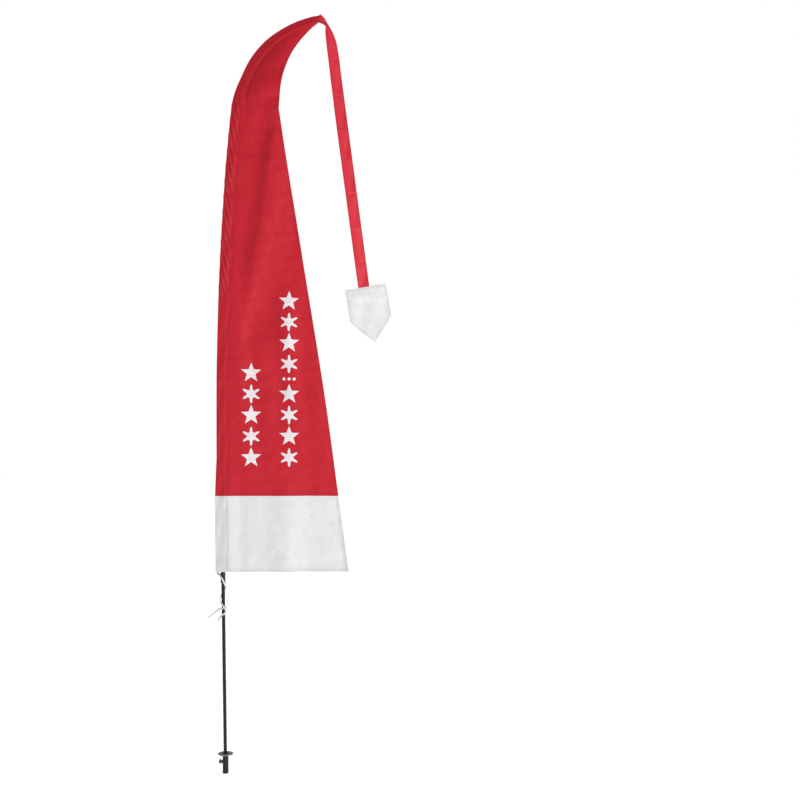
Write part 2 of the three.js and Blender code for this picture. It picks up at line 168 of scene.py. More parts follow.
# The sky is plain white to look at and dimmer as a light, so that the softbox can model the folds
sky = bpy.data.worlds.new("sky")
sky.use_nodes = True
sky.node_tree.nodes.clear()
seen = shade(sky.node_tree, "LightPath")["Is Camera Ray"]
level = between(sky.node_tree, seen, SKY_LIGHT, 1.0)
air = shade(sky.node_tree, "Background", {"Color": WHITE, "Strength": level})
shade(sky.node_tree, "OutputWorld", {"Surface": air["Background"]})
scene.world = sky

softbox = bpy.data.objects.new("softbox", bpy.data.lights.new("softbox", "AREA"))
softbox.data.shape = "RECTANGLE"
softbox.data.size = SOFTBOX_SIZE[0]
softbox.data.size_y = SOFTBOX_SIZE[1]
softbox.data.energy = SOFTBOX_POWER
softbox.location = SOFTBOX_PLACE
aim = Vector(SOFTBOX_AIM) - softbox.location
softbox.rotation_euler = aim.to_track_quat("-Z", "Y").to_euler()
scene.collection.objects.link(softbox)


# ---- Tie tapes ---------------------------------------------------------------------------------------
# Two strands of 5.5 mm woven cotton tape, sewn inside the foot of the sleeve at its hoist corner.
# They are wound round the lower pole, hitched once, and their cut ends hang free on the hoist side.
TAPE_WIDTH = 0.0055
TAPE_THICKNESS = 0.0006
TAPE_STEPS = 220
TAPE_ROUND = 0.012
SHARP_ANGLE = np.radians(34)
POLE_LEAN = np.radians(0.75)
FRONT_STRAND = [
    (-28.5, -0.6, 648), (-27, -1.4, 633), (-22, -6, 629.5), (-16, -10, 624), (-9, -11.5, 615),
    (-3, -10.5, 603), (1.2, -7, 592), (2.6, -2.5, 580), (2, 0, 568), (1.6, 0, 556), (4.5, -1.5, 547),
    (8.4, -3, 541), (9.6, -4.2, 534.5), (6.5, -6.6, 528), (1, -8.6, 524), (-6, -9, 522),
    (-12.5, -8, 521.5), (-19, -6, 519.5), (-28, -4, 513), (-41, -3, 502.5), (-54, -3, 492),
]
BACK_STRAND = [
    (-26.5, 0.6, 648), (-25, 3, 633), (-20, 8, 627), (-13, 11.5, 618), (-6, 11.5, 606), (-3, 9.5, 592),
    (-6, 8.2, 577), (-12, 7, 565), (-15.5, 2.5, 555), (-15.8, -2.5, 547), (-13.5, -8, 540),
    (-8.5, -11.6, 533), (-2.5, -13, 526), (2, -13, 519), (3, -12.5, 512), (-1, -11.5, 506),
    (-7, -10, 502.5), (-13, -8, 497.5), (-18.5, -6.5, 490), (-22.5, -6, 482),
]


def cubic(t, span, start, end, start_slope, end_slope):
    """The cubic between two values that leaves and arrives at given slopes, at t of the way across a span."""
    return (
        start * (1 + 2 * t) * (1 - t) ** 2
        + start_slope * span * t * (1 - t) ** 2
        + end * t**2 * (3 - 2 * t)
        + end_slope * span * t**2 * (t - 1)
    )


def distances(line):
    """How far along a line each of its points is."""
    return np.append(0, np.cumsum(np.linalg.norm(np.diff(line, axis=0), axis=1)))


def along_line(at, distance, line):
    """Points read off a line at some distances along it."""
    return np.stack([np.interp(at, distance, line[:, k]) for k in range(3)], axis=1)


def smooth_line(places, steps):
    """A smooth curve through places: between two of them each coordinate is a cubic, whose slope at a place
    is that of the line between its neighbours. The curve is then read at even steps of its length."""
    knots = np.array(places, float)
    slopes = np.gradient(knots, axis=0)
    spot = np.linspace(0, len(knots) - 1.000001, 12 * len(knots))
    low = spot.astype(int)
    t = (spot - low)[:, None]
    line = cubic(t, 1.0, knots[low], knots[low + 1], slopes[low], slopes[low + 1])
    distance = distances(line)
    return along_line(np.linspace(0, distance[-1], steps), distance, line)


def unit(vectors):
    """Vectors brought to length one."""
    return vectors / np.maximum(np.linalg.norm(vectors, axis=-1, keepdims=True), 1e-12)


def tape_band(line):
    """A flat tape along a line. Its face looks away from the pole's axis where it is wound and to the front
    where it hangs free, and its section is a flattened ring: width times cosine, thickness times sine."""
    away = line - np.stack([-line[:, 2] * np.tan(POLE_LEAN), 0 * line[:, 1], line[:, 2]], axis=1)
    free = np.clip((np.linalg.norm(away, axis=1) - 0.014) / 0.010, 0, 1)[:, None]
    face = unit(away) * (1 - free) + np.array([0.25, -1.0, 0.1]) * free
    blur = np.hanning(25)
    face = np.stack([np.convolve(np.pad(face[:, k], 12, "edge"), blur, "valid") for k in range(3)], axis=1)
    tangent = unit(np.gradient(line, axis=0))
    face = unit(face - (face * tangent).sum(1, keepdims=True) * tangent)
    across = np.cross(tangent, face)
    angle = all_round(14)[0]
    wide = np.sign(np.cos(angle)) * np.abs(np.cos(angle)) ** 0.6 * TAPE_WIDTH / 2
    deep = np.sin(angle) * TAPE_THICKNESS / 2
    ring = line[:, None] + across[:, None] * wide[None, :, None] + face[:, None] * deep[None, :, None]
    ends = [np.repeat(line[[k]], 14, axis=0)[None] for k in (0, -1)]
    return np.concatenate([ends[0], ring, ends[1]])


def woven(tree, thread, vector):
    """A plain weave's height: a wave of threads across the map times another along it, for over and under."""
    waves = [
        shade(tree, "TexWave", {"Vector": vector, "Scale": 0.314 / thread}, bands_direction=way)["Fac"]
        for way in ("X", "Y")
    ]
    return shade(tree, "Math", {0: waves[0], 1: waves[1]}, operation="MULTIPLY")["Value"]


def noise(tree, vector, scale, detail=2.0):
    """Soft noise over a place or a map."""
    return shade(tree, "TexNoise", {"Vector": vector, "Scale": scale, "Detail": detail})["Fac"]


def streaks(tree, vector, stretch, detail=2.0):
    """Noise drawn out along one way of a pattern, as slubs in yarn or marks left by a die."""
    drawn = shade(tree, "Mapping", {"Vector": vector, "Scale": stretch})["Vector"]
    return noise(tree, drawn, 1.0, detail)


def tinted(tree, colour, low, high, amount):
    """A colour made darker or lighter by an amount that runs from 0 to 1, between two strengths."""
    strength = between(tree, amount, low, high)
    return shade(tree, "VectorMath", {0: colour, "Scale": strength}, operation="SCALE")["Vector"]


def bumped(tree, height, distance, strength=0.5):
    """A pattern's height turned to a bump, its distance in metres."""
    return shade(tree, "Bump", {"Height": height, "Distance": distance, "Strength": strength})["Normal"]


def finished(material, tree, base, rough, bump, more=None):
    """Ends a material of one shader: its colour, roughness and bump, and any more of its sockets."""
    sockets = {"Base Color": base, "Roughness": rough, "Normal": bump, **(more or {})}
    solid = shade(tree, "BsdfPrincipled", sockets)
    shade(tree, "OutputMaterial", {"Surface": solid["BSDF"]})
    return material


def tape_finish():
    """Undyed cotton tape: coarse threads, a faint grey in the gaps and no shine."""
    material, tree = blank_material("cotton_tape")
    flat = shade(tree, "TexCoord")["UV"]
    weave = woven(tree, 0.0007, flat)
    slubs = streaks(tree, flat, (900.0, 60.0, 1.0))
    colour = tinted(tree, (0.64, 0.64, 0.61), 0.84, 1.04, slubs)
    bump = bumped(tree, weave, 0.00012, 0.7)
    return finished(material, tree, colour, 0.9, bump, {"Sheen Weight": 0.3, "Sheen Roughness": 0.5})


def fix(made, material, slot, body, *nodes):
    """Gives a finished piece its material, the body it moves with, and the CAD nodes it hides. The slot is
    not used.
    """
    made.data.materials.append(material)
    made.data.shade_smooth()
    made.data.set_sharp_from_angle(angle=SHARP_ANGLE)
    if body:
        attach(made, body)
    if nodes:
        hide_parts(*nodes)
    return made


cotton = tape_finish()
for strand, tape_name in ((FRONT_STRAND, "tie_tape_front"), (BACK_STRAND, "tie_tape_back")):
    route = smooth_line(np.array(strand) * 0.001, TAPE_STEPS)
    band_points = tape_band(route)
    tape_along = np.linspace(0, 0.25, len(band_points))[:, None]
    tape_around = np.linspace(0, TAPE_ROUND, 15)[None, :]
    tape_map = joined(tape_around, tape_along)
    strand_tape = weld(surface(tape_name + "_tape", band_points, tape_map, closed=(False, True)))
    fix(strand_tape, cotton, "tape_cloth", "banner", tape_name)


# ---- Ground stake ------------------------------------------------------------------------------------
# A length of 18.5 mm steel tube with a solid driving point pressed into its foot, painted black-green.
# It is driven in to the ground line, and the pole drops into its mouth.
STAKE_RADIUS = 0.00925
STAKE_BORE = 0.00805
STAKE_TOP = 0.062
STAKE_DEPTH = 0.190
POINT_LENGTH = 0.042

# The pole's lean from upright at stations along it: back against its socket, then over as a sprung whip
LEAN_STATIONS = (0.600, 1.150, 2.100, 2.496)
LEANS = np.radians((-0.75, 0.0, 5.4, 76.0))
walk = np.arange(-0.3, 2.6, 0.0005)
walk_lean = np.interp(walk, LEAN_STATIONS, LEANS)
walk_x = np.cumsum(np.sin(walk_lean)) * 0.0005
walk_z = np.cumsum(np.cos(walk_lean)) * 0.0005
walk_x -= np.interp(0.0, walk, walk_x)
walk_z -= np.interp(0.0, walk, walk_z)


def beside_pole(station, width, out):
    """Points beside the bent pole: its line is walked to the station, then left square to it by the width."""
    lean = np.interp(station, LEAN_STATIONS, LEANS)
    x = np.interp(station, walk, walk_x) + width * np.cos(lean)
    z = np.interp(station, walk, walk_z) - width * np.sin(lean)
    return joined(x, out, z)


def upright(along, width, out):
    """Points about the stake's own axis, which is plumb."""
    return joined(width, out, along)


def bevelled(made, width, segments=3):
    """Rounds the sharp edges of a solid with a small fillet."""
    bevel = made.modifiers.new("edge", "BEVEL")
    bevel.width = width
    bevel.segments = segments
    bevel.limit_method = "ANGLE"
    bevel.angle_limit = SHARP_ANGLE
    bevel.harden_normals = True
    return made


def turned(name, profile, place, closed=False, sides=56, edge=0.0003):
    """A solid of revolution: at each (radius, along) of a profile, a ring of radius times cosine and sine."""
    radius, along = np.array(profile, float).T[:, :, None]
    angle = all_round(sides)
    points = place(along + 0 * angle, radius * np.cos(angle), radius * np.sin(angle))
    made = weld(surface(name, points, closed=(closed, True)))
    return bevelled(made, edge) if edge else made


def painted_steel(name, colour, fleck, roughness):
    """Satin paint on steel: a fine orange-peel bump, thin drawn scratches that show a fleck, and dust."""
    material, tree = blank_material(name)
    place = shade(tree, "TexCoord")["Object"]
    peel = noise(tree, place, 1400.0)
    drawn = streaks(tree, place, (900.0, 900.0, 60.0), 4.0)
    scratch = shade(tree, "MapRange", {"Value": drawn, "From Min": 0.64, "From Max": 0.70})["Result"]
    cloud = noise(tree, place, 70.0, 4.0)
    base = tinted(tree, colour, 0.75, 1.35, cloud)
    mixed = shade(tree, "Mix", {"Factor": scratch, 6: base, 7: (*fleck, 1.0)}, data_type="RGBA")[2]
    rough = between(tree, cloud, roughness - 0.1, roughness + 0.12)
    bump = bumped(tree, peel, 0.00006)
    return finished(material, tree, mixed, rough, bump, {"Metallic": 0.3, "Specular IOR Level": 0.25})


stake_paint = painted_steel("stake_paint", (0.016, 0.019, 0.015), (0.07, 0.07, 0.065), 0.46)
stake_tube = turned("stake_body", [
    (STAKE_BORE, -STAKE_DEPTH), (STAKE_RADIUS, -STAKE_DEPTH), (STAKE_RADIUS, -0.1), (STAKE_RADIUS, 0.0),
    (STAKE_RADIUS, STAKE_TOP), (STAKE_BORE, STAKE_TOP), (STAKE_BORE, 0.0), (STAKE_BORE, -0.1),
], upright, closed=True, edge=0.0004)
fix(stake_tube, stake_paint, "stake_steel", "stake", "stake_tube")

driving_point = turned("driving_point", [
    (0.0, -STAKE_DEPTH - POINT_LENGTH), (0.0012, -STAKE_DEPTH - POINT_LENGTH),
    (0.0056, -STAKE_DEPTH - 0.022), (STAKE_RADIUS, -STAKE_DEPTH - 0.0045),
    (STAKE_RADIUS, -STAKE_DEPTH - 0.0003), (0.00775, -STAKE_DEPTH - 0.0003),
    (0.00775, -STAKE_DEPTH + 0.018), (0.0, -STAKE_DEPTH + 0.018),
], upright)
fix(driving_point, stake_paint, "stake_steel", "stake", "stake_point")


# ---- Foot disc ---------------------------------------------------------------------------------------
# A pressed steel washer, 49 mm across and 3 mm thick, welded round the mouth of the stake.
# It stops the stake at the right depth, and is plated a dull grey. A bead of weld runs round underneath.
DISC_RADIUS = 0.0245
DISC_LOW = 0.059
BEAD_RADIUS = 0.0011


def plated_steel(name, colour, roughness):
    """Dull zinc plate: faint crystals of two greys, fine grit in the bump, and dirt as broad soft clouds."""
    material, tree = blank_material(name)
    place = shade(tree, "TexCoord")["Object"]
    crystals = shade(tree, "TexVoronoi", {"Vector": place, "Scale": 260.0, "Randomness": 1.0})["Color"]
    grey = shade(tree, "SeparateColor", {"Color": crystals})["Red"]
    cloud = noise(tree, place, 90.0, 5.0)
    tone = shade(tree, "Math", {0: grey, 1: cloud}, operation="ADD")["Value"]
    half = shade(tree, "Math", {0: tone, 1: 0.5}, operation="MULTIPLY")["Value"]
    base = tinted(tree, colour, 0.72, 1.25, half)
    rough = between(tree, half, roughness - 0.08, roughness + 0.12)
    bump = bumped(tree, noise(tree, place, 2200.0), 0.00004)
    return finished(material, tree, base, rough, bump, {"Metallic": 0.6})


zinc = plated_steel("zinc_plate", (0.34, 0.345, 0.34), 0.48)
foot_disc = turned("foot_plate", [
    (STAKE_RADIUS + 0.0003, DISC_LOW), (0.0175, DISC_LOW), (0.0222, DISC_LOW + 0.0004),
    (DISC_RADIUS, DISC_LOW + 0.0011), (DISC_RADIUS, STAKE_TOP - 0.0008), (0.0236, STAKE_TOP),
    (0.0175, STAKE_TOP), (STAKE_RADIUS + 0.0003, STAKE_TOP),
], upright, closed=True, sides=96, edge=0.0005)
fix(foot_disc, zinc, "zinc_steel", "stake", "foot_disc")


def weld_bead(radius, height, thick, ripples):
    """A ring of weld: a small circle carried round a large one, swelling and shrinking with each ripple."""
    around = all_round(180).T
    section = all_round(12)
    size = thick * (1 + 0.16 * np.cos(ripples * around))
    ring = radius + size * np.cos(section)
    z = height + size * np.sin(section) + 0 * around
    return np.stack([ring * np.cos(around), ring * np.sin(around), z], axis=-1)


disc_bead = weld(surface("disc_weld", weld_bead(STAKE_RADIUS, DISC_LOW - 0.0002, BEAD_RADIUS, 34),
                         closed=(True, True)))
fix(disc_bead, stake_paint, "stake_steel", "stake")


# ---- Stop pin ----------------------------------------------------------------------------------------
# A 4 mm rivet across the stake just below ground, with domed heads. The pole's foot cap rests on it.
PIN_HEIGHT = -0.0143


def across_stake(along, width, out):
    """Points about the rivet's axis, which runs front to back through the stake."""
    return joined(width, along, PIN_HEIGHT + out)


pin_side = [(0.0, 0.01095), (0.0018, 0.0108), (0.0030, 0.0103), (0.0034, 0.0096), (0.0020, 0.0095)]
stop_pin = turned("stop_rivet", [(r, -y) for r, y in pin_side] + pin_side[::-1], across_stake, edge=0)
fix(stop_pin, zinc, "zinc_steel", "stake", "stop_pin")


# ---- Clamp -------------------------------------------------------------------------------------------
# A thin hexagon nut is welded to the hoist side of the stake over a hole. A 5 mm thumb screw with a moulded
# spade head runs in it, and presses the foot of the pole against the far wall.
SCREW_HEIGHT = 0.036
SCREW_RADIUS = 0.0025
THREAD_PITCH = 0.001
THREAD_DEPTH = 0.00030
SCREW_TIP = 0.00627
SCREW_END = 0.01685
NUT_ACROSS = 0.0056
NUT_OUTER = 0.01115
NUT_INNER = 0.0084
NUT_BEAD = 0.0054
KNOB_INNER = 0.01185
KNOB_REACH = 0.0095
KNOB_HEIGHT = 0.015
KNOB_THICKNESS = 0.006


def along_clamp(along, width, out):
    """Points about the screw's axis, which runs out from the stake on the hoist side."""
    return joined(-along, out, SCREW_HEIGHT + width)


def hexagon_nut():
    """A hexagon with its corners cut by a cone: a ring is the lesser of the hexagon and the cone's circle."""
    angle = all_round(96)
    sector = np.abs(np.mod(angle + np.pi / 6, np.pi / 3) - np.pi / 6)
    hexagon = NUT_ACROSS * np.cos(np.pi / 6) / np.cos(np.pi / 6 - sector)
    rim, lip = NUT_OUTER - 0.0006, NUT_OUTER - 0.0002
    along = np.array([NUT_INNER, NUT_INNER, rim, lip, NUT_OUTER, NUT_OUTER, lip, NUT_INNER])[:, None]
    cone = np.array([0.0030, 1.0, 1.0, 0.0055, 0.0049, 0.0029, 0.0026, 0.0026])[:, None]
    radius = np.minimum(hexagon, cone)
    return along_clamp(along + 0 * angle, radius * np.cos(angle), radius * np.sin(angle))


clamp_nut = bevelled(weld(surface("clamp_hexagon", hexagon_nut(), closed=(True, True))), 0.0002, 2)
fix(clamp_nut, stake_paint, "stake_steel", "stake", "clamp_nut")


def nut_weld():
    """A bead where the nut meets the tube: a small circle round the nut, set back as the tube curves."""
    around = all_round(120).T
    section = all_round(10)
    size = 0.00075 * (1 + 0.18 * np.cos(22 * around))
    ring = NUT_BEAD + size * np.cos(section)
    wall = np.sqrt(STAKE_RADIUS**2 - (NUT_BEAD * np.sin(around)) ** 2)
    return along_clamp(wall + size * np.sin(section), ring * np.cos(around), ring * np.sin(around))


fix(weld(surface("nut_weld_bead", nut_weld(), closed=(True, True))), stake_paint, "stake_steel", "stake")


def screw_thread():
    """A thread: the radius rises and falls once in each pitch along the screw, a turn later each time."""
    along = np.linspace(SCREW_TIP, SCREW_END, 190)[:, None]
    angle = all_round(36)
    phase = along / THREAD_PITCH - angle / (2 * np.pi)
    tooth = np.abs(2 * (phase - np.floor(phase)) - 1)
    ends = np.clip(np.minimum(along - SCREW_TIP, SCREW_END - along) / 0.0006, 0.0, 1.0)
    radius = (SCREW_RADIUS - 0.0006 * (1 - ends)) - THREAD_DEPTH * tooth
    body = along_clamp(along + 0 * angle, radius * np.cos(angle), radius * np.sin(angle))
    tip, end = (along_clamp(at + 0 * angle, 0 * angle, 0 * angle) for at in (SCREW_TIP, SCREW_END))
    return np.concatenate([tip, body, end])


clamp_screw = weld(surface("thumb_screw", screw_thread(), closed=(False, True)))
fix(clamp_screw, zinc, "zinc_steel", "clamp_screw", "clamp_screw")


def moulded(name, colour, roughness):
    """Matte moulded plastic: a leathery grain, slightly uneven colour and rubbed, shinier patches."""
    material, tree = blank_material(name)
    place = shade(tree, "TexCoord")["Object"]
    grain = shade(tree, "TexVoronoi", {"Vector": place, "Scale": 1600.0})["Distance"]
    cloud = noise(tree, place, 160.0, 4.0)
    base = tinted(tree, colour, 0.8, 1.25, cloud)
    rough = between(tree, cloud, roughness - 0.12, roughness + 0.1)
    return finished(material, tree, base, rough, bumped(tree, grain, 0.00005))


def spade_head():
    """A rounded paddle: an ellipse of two half sizes whose thickness falls off as a power towards its rim,
    and is pressed in at the middle of each face for finger and thumb."""
    turn = np.linspace(-np.pi / 2, np.pi / 2, 49)[:, None]
    angle = all_round(72)
    rim = np.cos(turn) ** 0.55
    x = -(KNOB_INNER + KNOB_REACH / 2) + rim * np.cos(angle) * KNOB_REACH / 2
    z = SCREW_HEIGHT + rim * np.sin(angle) * KNOB_HEIGHT / 2
    deep = np.sign(turn) * np.abs(np.sin(turn)) ** 0.75 * KNOB_THICKNESS / 2
    dimple = 1 - 0.30 * np.exp(-((rim * np.cos(angle) / 0.5) ** 2) - (rim * np.sin(angle) / 0.55) ** 2)
    return joined(x, deep * dimple, z)


knob_plastic = moulded("knob_moulding", (0.042, 0.039, 0.032), 0.55)
knob = weld(surface("spade_knob", spade_head(), closed=(False, True)))
fix(knob, knob_plastic, "knob_plastic", "clamp_knob", "clamp_knob")
knob_collar = turned("knob_collar", [
    (0.00275, KNOB_INNER + 0.0002), (0.0036, KNOB_INNER + 0.0002), (0.0041, KNOB_INNER + 0.0009),
    (0.0040, KNOB_INNER + 0.0030), (0.00275, KNOB_INNER + 0.0030),
], along_clamp, closed=True, sides=40, edge=0.0002)
fix(knob_collar, knob_plastic, "knob_plastic", "clamp_knob")


# ---- Pole --------------------------------------------------------------------------------------------
# Three drawn glass-fibre tubes of 11, 9.5 and 8 mm and a solid whip that tapers from 6.4 to 3.2 mm.
# Black, smooth and slightly glossy, with the grain of the fibres running along them.
JOINTS = (0.631, 1.274, 1.917)
POLE_TIP = 2.496
TUBE_RADII = (0.0055, 0.00475, 0.0040)
TUBE_WALL = 0.0015
WHIP_RADIUS = 0.0032
WHIP_TIP_RADIUS = 0.0016


def drawn_fibre():
    """Black glass-fibre: long fine streaks as bump and as two near blacks, under a clear skin."""
    material, tree = blank_material("glass_fibre")
    place = shade(tree, "TexCoord")["Object"]
    fibres = streaks(tree, place, (1500.0, 1500.0, 14.0), 3.0)
    cloud = noise(tree, place, 35.0, 4.0)
    base = tinted(tree, (0.0085, 0.0080, 0.0085), 0.6, 1.7, fibres)
    rough = between(tree, cloud, 0.26, 0.44)
    bump = bumped(tree, fibres, 0.00004)
    return finished(material, tree, base, rough, bump, {"Specular IOR Level": 0.22, "Coat Weight": 0.06})


def tube_profile(low, high, radius, count):
    """Up the outside in even steps and down the bore again."""
    up = np.linspace(low, high, count)
    return [(radius, s) for s in up] + [(radius - TUBE_WALL, s) for s in up[::-1]]


fibre = drawn_fibre()
tube_lows = (-0.0087, JOINTS[0] + 0.0005, JOINTS[1] + 0.0005)
for tube_name, tube_body, tube_low, tube_high, tube_radius in zip(
    ("lower", "middle", "upper"), ("lower_pole", "banner", "banner"), tube_lows, JOINTS, TUBE_RADII
):
    tube = turned("tube_" + tube_name, tube_profile(tube_low, tube_high - 0.0005, tube_radius, 26),
                  beside_pole, closed=True, sides=48)
    fix(tube, fibre, "pole_fibreglass", tube_body, "pole_" + tube_name)

whip_low = JOINTS[2] + 0.0005
whip_stations = np.linspace(whip_low, POLE_TIP, 60)
whip_radii = np.interp(whip_stations, (whip_low, POLE_TIP), (WHIP_RADIUS, WHIP_TIP_RADIUS))
whip_profile = [(0.0, whip_low), *zip(whip_radii, whip_stations), (0.0, POLE_TIP)]
whip = turned("whip", whip_profile, beside_pole, sides=32)
fix(whip, fibre, "pole_fibreglass", "banner", "pole_whip")


# ---- Foot cap and whip cap ---------------------------------------------------------------------------
# Two push-on plastic caps: one plugs the foot of the lower tube, the other keeps the whip's end from
# wearing through the tip of the sleeve.
black_plastic = moulded("black_moulding", (0.018, 0.018, 0.018), 0.55)
foot_cap = turned("foot_cap", [
    (0.0, -0.012), (0.0045, -0.012), (0.0055, -0.011), (0.0055, -0.009), (0.0037, -0.009),
    (0.0037, 0.0024), (0.0031, 0.003), (0.0, 0.003),
], beside_pole, sides=40)
fix(foot_cap, black_plastic, "black_plastic", "lower_pole", "pole_foot_cap")
cap_end = POLE_TIP + 0.0019
whip_cap = turned("whip_cap", [
    (0.0020, cap_end - 0.016), (0.0036, cap_end - 0.016), (0.0036, cap_end - 0.010),
    (0.0036, cap_end - 0.0015), (0.0030, cap_end - 0.0005), (0.0021, cap_end), (0.0, cap_end),
    (0.0, POLE_TIP + 0.0003), (0.0020, POLE_TIP + 0.0003), (0.0020, cap_end - 0.016),
], beside_pole, sides=40, edge=0.0002)
fix(whip_cap, black_plastic, "black_plastic", "banner", "whip_tip_cap")


# ---- Ferrules ----------------------------------------------------------------------------------------
# Black-coated steel sleeves, 60 mm long, that join one section of the pole to the next.
# Each is rolled to a bead at both ends, and crimped in two rings on to the tube below its joint.
FERRULE_HALF = 0.030
FERRULE_WALL = 0.002
FIT = 0.0003
END_BEAD = 0.00035
CRIMP = 0.0004

ferrule_coat = painted_steel("ferrule_coat", (0.022, 0.022, 0.022), (0.09, 0.09, 0.09), 0.40)


def ferrule_profile(joint, below, above):
    """A plain tube, less a hollow at each crimp and plus a bead at each end, with a stepped bore."""
    station = np.linspace(joint - FERRULE_HALF, joint + FERRULE_HALF, 90)
    from_end = FERRULE_HALF - np.abs(station - joint)
    bead = END_BEAD * np.exp(-(((from_end - 0.0016) / 0.0011) ** 2))
    crimps = sum(np.exp(-(((station - joint + at) / 0.0010) ** 2)) for at in (0.012, 0.018))
    outside = below + FIT + FERRULE_WALL - END_BEAD + bead - CRIMP * crimps
    bore = [(above + FIT, station[-1]), (above + FIT, joint), (below + FIT, joint), (below + FIT, station[0])]
    return [*zip(outside, station), *bore]


radii_above = (*TUBE_RADII[1:], WHIP_RADIUS)
for ferrule_name, ferrule_body, ferrule_joint, ferrule_below, ferrule_above in zip(
    ("lower", "middle", "upper"), ("lower_pole", "banner", "banner"), JOINTS, TUBE_RADII, radii_above
):
    ferrule_shape = ferrule_profile(ferrule_joint, ferrule_below, ferrule_above)
    ferrule = turned("joint_sleeve_" + ferrule_name, ferrule_shape, beside_pole, closed=True, edge=0.0002)
    fix(ferrule, ferrule_coat, "ferrule_steel", ferrule_body, "ferrule_" + ferrule_name)


# ---- Cloth -------------------------------------------------------------------------------------------
# The flag is thin plain-weave polyester, white for the band at its foot and red above.
# Edges are turned to the back once and sewn with two rows; the hoist is folded back into a sleeve.
HEM_STATION = 0.637
SEAM_STATION = 0.877
POCKET_STATION = 2.4982
KINK_STATION = 2.108
CLOTH = 0.0005
TURN = 0.0009
SEAM_LAP = 0.007
HEM = 0.010
DOUBLED = 0.12
HEM_WIDTH = 0.398
SEAM_WIDTH = 0.367
FLY_LOW = ((HEM_STATION, SEAM_STATION, 1.277, 1.687, KINK_STATION),
           (HEM_WIDTH, SEAM_WIDTH, 0.3115, 0.233, 0.1375))
FLY_HIGH = ((KINK_STATION, 2.172, 2.287, 2.387, 2.470, POCKET_STATION),
            (0.1375, 0.131, 0.104, 0.0675, 0.031, 0.017))
CREASE_STEP = 0.231
CREASE_START = 0.797

rng = np.random.default_rng(11)
ripple_way = rng.uniform(0, np.pi, 26)
ripple_length = rng.uniform(0.028, 0.11, 26)
ripple_start = rng.uniform(0, 2 * np.pi, 26)


def read(at, table):
    """A smooth reading of a table of places and values: a cubic between each two, with the table's slopes."""
    places, values = (np.array(part, float) for part in table)
    slopes = np.gradient(values, places)
    low = np.clip(np.searchsorted(places, at) - 1, 0, len(places) - 2)
    span = places[low + 1] - places[low]
    t = np.clip((at - places[low]) / span, -0.05, 1.05)
    return cubic(t, span, values[low], values[low + 1], slopes[low], slopes[low + 1])


def ease(at, low, high):
    """Rises smoothly from 0 at low to 1 at high."""
    t = np.clip((at - low) / (high - low), 0, 1)
    return t * t * (3 - 2 * t)


def bump_at(at, middle, spread):
    """A bell curve."""
    return np.exp(-(((at - middle) / spread) ** 2))


def even_hoist(station):
    """From the pole's axis back to the folded edge of the sleeve, as it was cut."""
    return np.interp(station, (SEAM_STATION, 0.997, JOINTS[2], POLE_TIP), (0.022, 0.0165, 0.0165, 0.013))


def hoist_reach(station):
    """The same as it hangs: drawn in low in the arch, and pushed out a little higher up."""
    drawn_in = 0.0042 * bump_at(station, 2.205, 0.05) - 0.0012 * bump_at(station, 2.34, 0.04)
    return even_hoist(station) - drawn_in


def fly_reach(station):
    """From the pole's axis forward to the sleeve's seam."""
    return np.interp(station, (JOINTS[2], POLE_TIP), (0.042, 0.025)) - even_hoist(station)


def fly_edge(station):
    """From the pole's axis to the fly edge: straight on the band, a curve to the kink and another beyond."""
    band = np.interp(station, (HEM_STATION, SEAM_STATION), (HEM_WIDTH, SEAM_WIDTH))
    above = np.where(station < KINK_STATION, read(station, FLY_LOW), read(station, FLY_HIGH))
    return np.where(station < SEAM_STATION, band, above)


def puckers(station, inward):
    """Small slanting gathers every 48 mm where the sleeve was sewn on a curve: a sharpened cosine wave."""
    wave = (0.5 + 0.5 * np.cos(2 * np.pi * (station + 3.0 * inward) / 0.048)) ** 3
    return wave * ease(station, 1.46, 1.56) * (1 - ease(station, 2.09, 2.17))


def inside_radius(station):
    """The round that the sleeve is drawn over: the pole's own, plus a swelling at each ferrule."""
    bare = np.interp(station, (0.6, 1.27, 1.9, 2.45, 2.5), (0.0066, 0.0062, 0.0052, 0.0037, 0.0048))
    swell = sum(
        size * ease(0.052 - np.abs(station - joint), 0.0, 0.022)
        for joint, size in zip(JOINTS, (0.0022, 0.0018, 0.0018))
    )
    return bare + swell


def half_depth(station, width):
    """Cloth drawn over a round from two edges: the round itself in the middle, and straight lines touching it
    on either side, down to the fold on one side and to the seam's flange on the other."""
    radius = inside_radius(station)
    reach = np.where(width < 0, hoist_reach(station), fly_reach(station) - SEAM_LAP)
    reach = np.maximum(reach, radius * 1.08)
    away = np.abs(width)
    on_round = np.sqrt(np.maximum(radius**2 - width**2, 0))
    straight = np.maximum(reach - away, 0) * radius / np.sqrt(reach**2 - radius**2)
    return np.where(away < radius**2 / reach, on_round, straight)


def in_arch(station):
    """0 on the straight of the pole and 1 in the arch, where the sleeve is drawn over towards the fly."""
    return ease(station, 2.02, 2.16)


def forward(station, width):
    """How far the cloth beside the pole stands forward. It is drawn nearly flat across the front of the pole,
    so the sleeve's fold and the panel's start stay level with that. In the arch it rises from the fold."""
    level = 0.85 * (inside_radius(station) - half_depth(station, width)) * (1 - ease(width, 0.026, 0.150))
    tilted = np.clip(0.0008 + 0.32 * (width + 0.012), 0.0, 0.0066) * (1 - ease(width, 0.012, 0.115))
    arch = in_arch(station)
    return level * (1 - arch) + tilted * arch


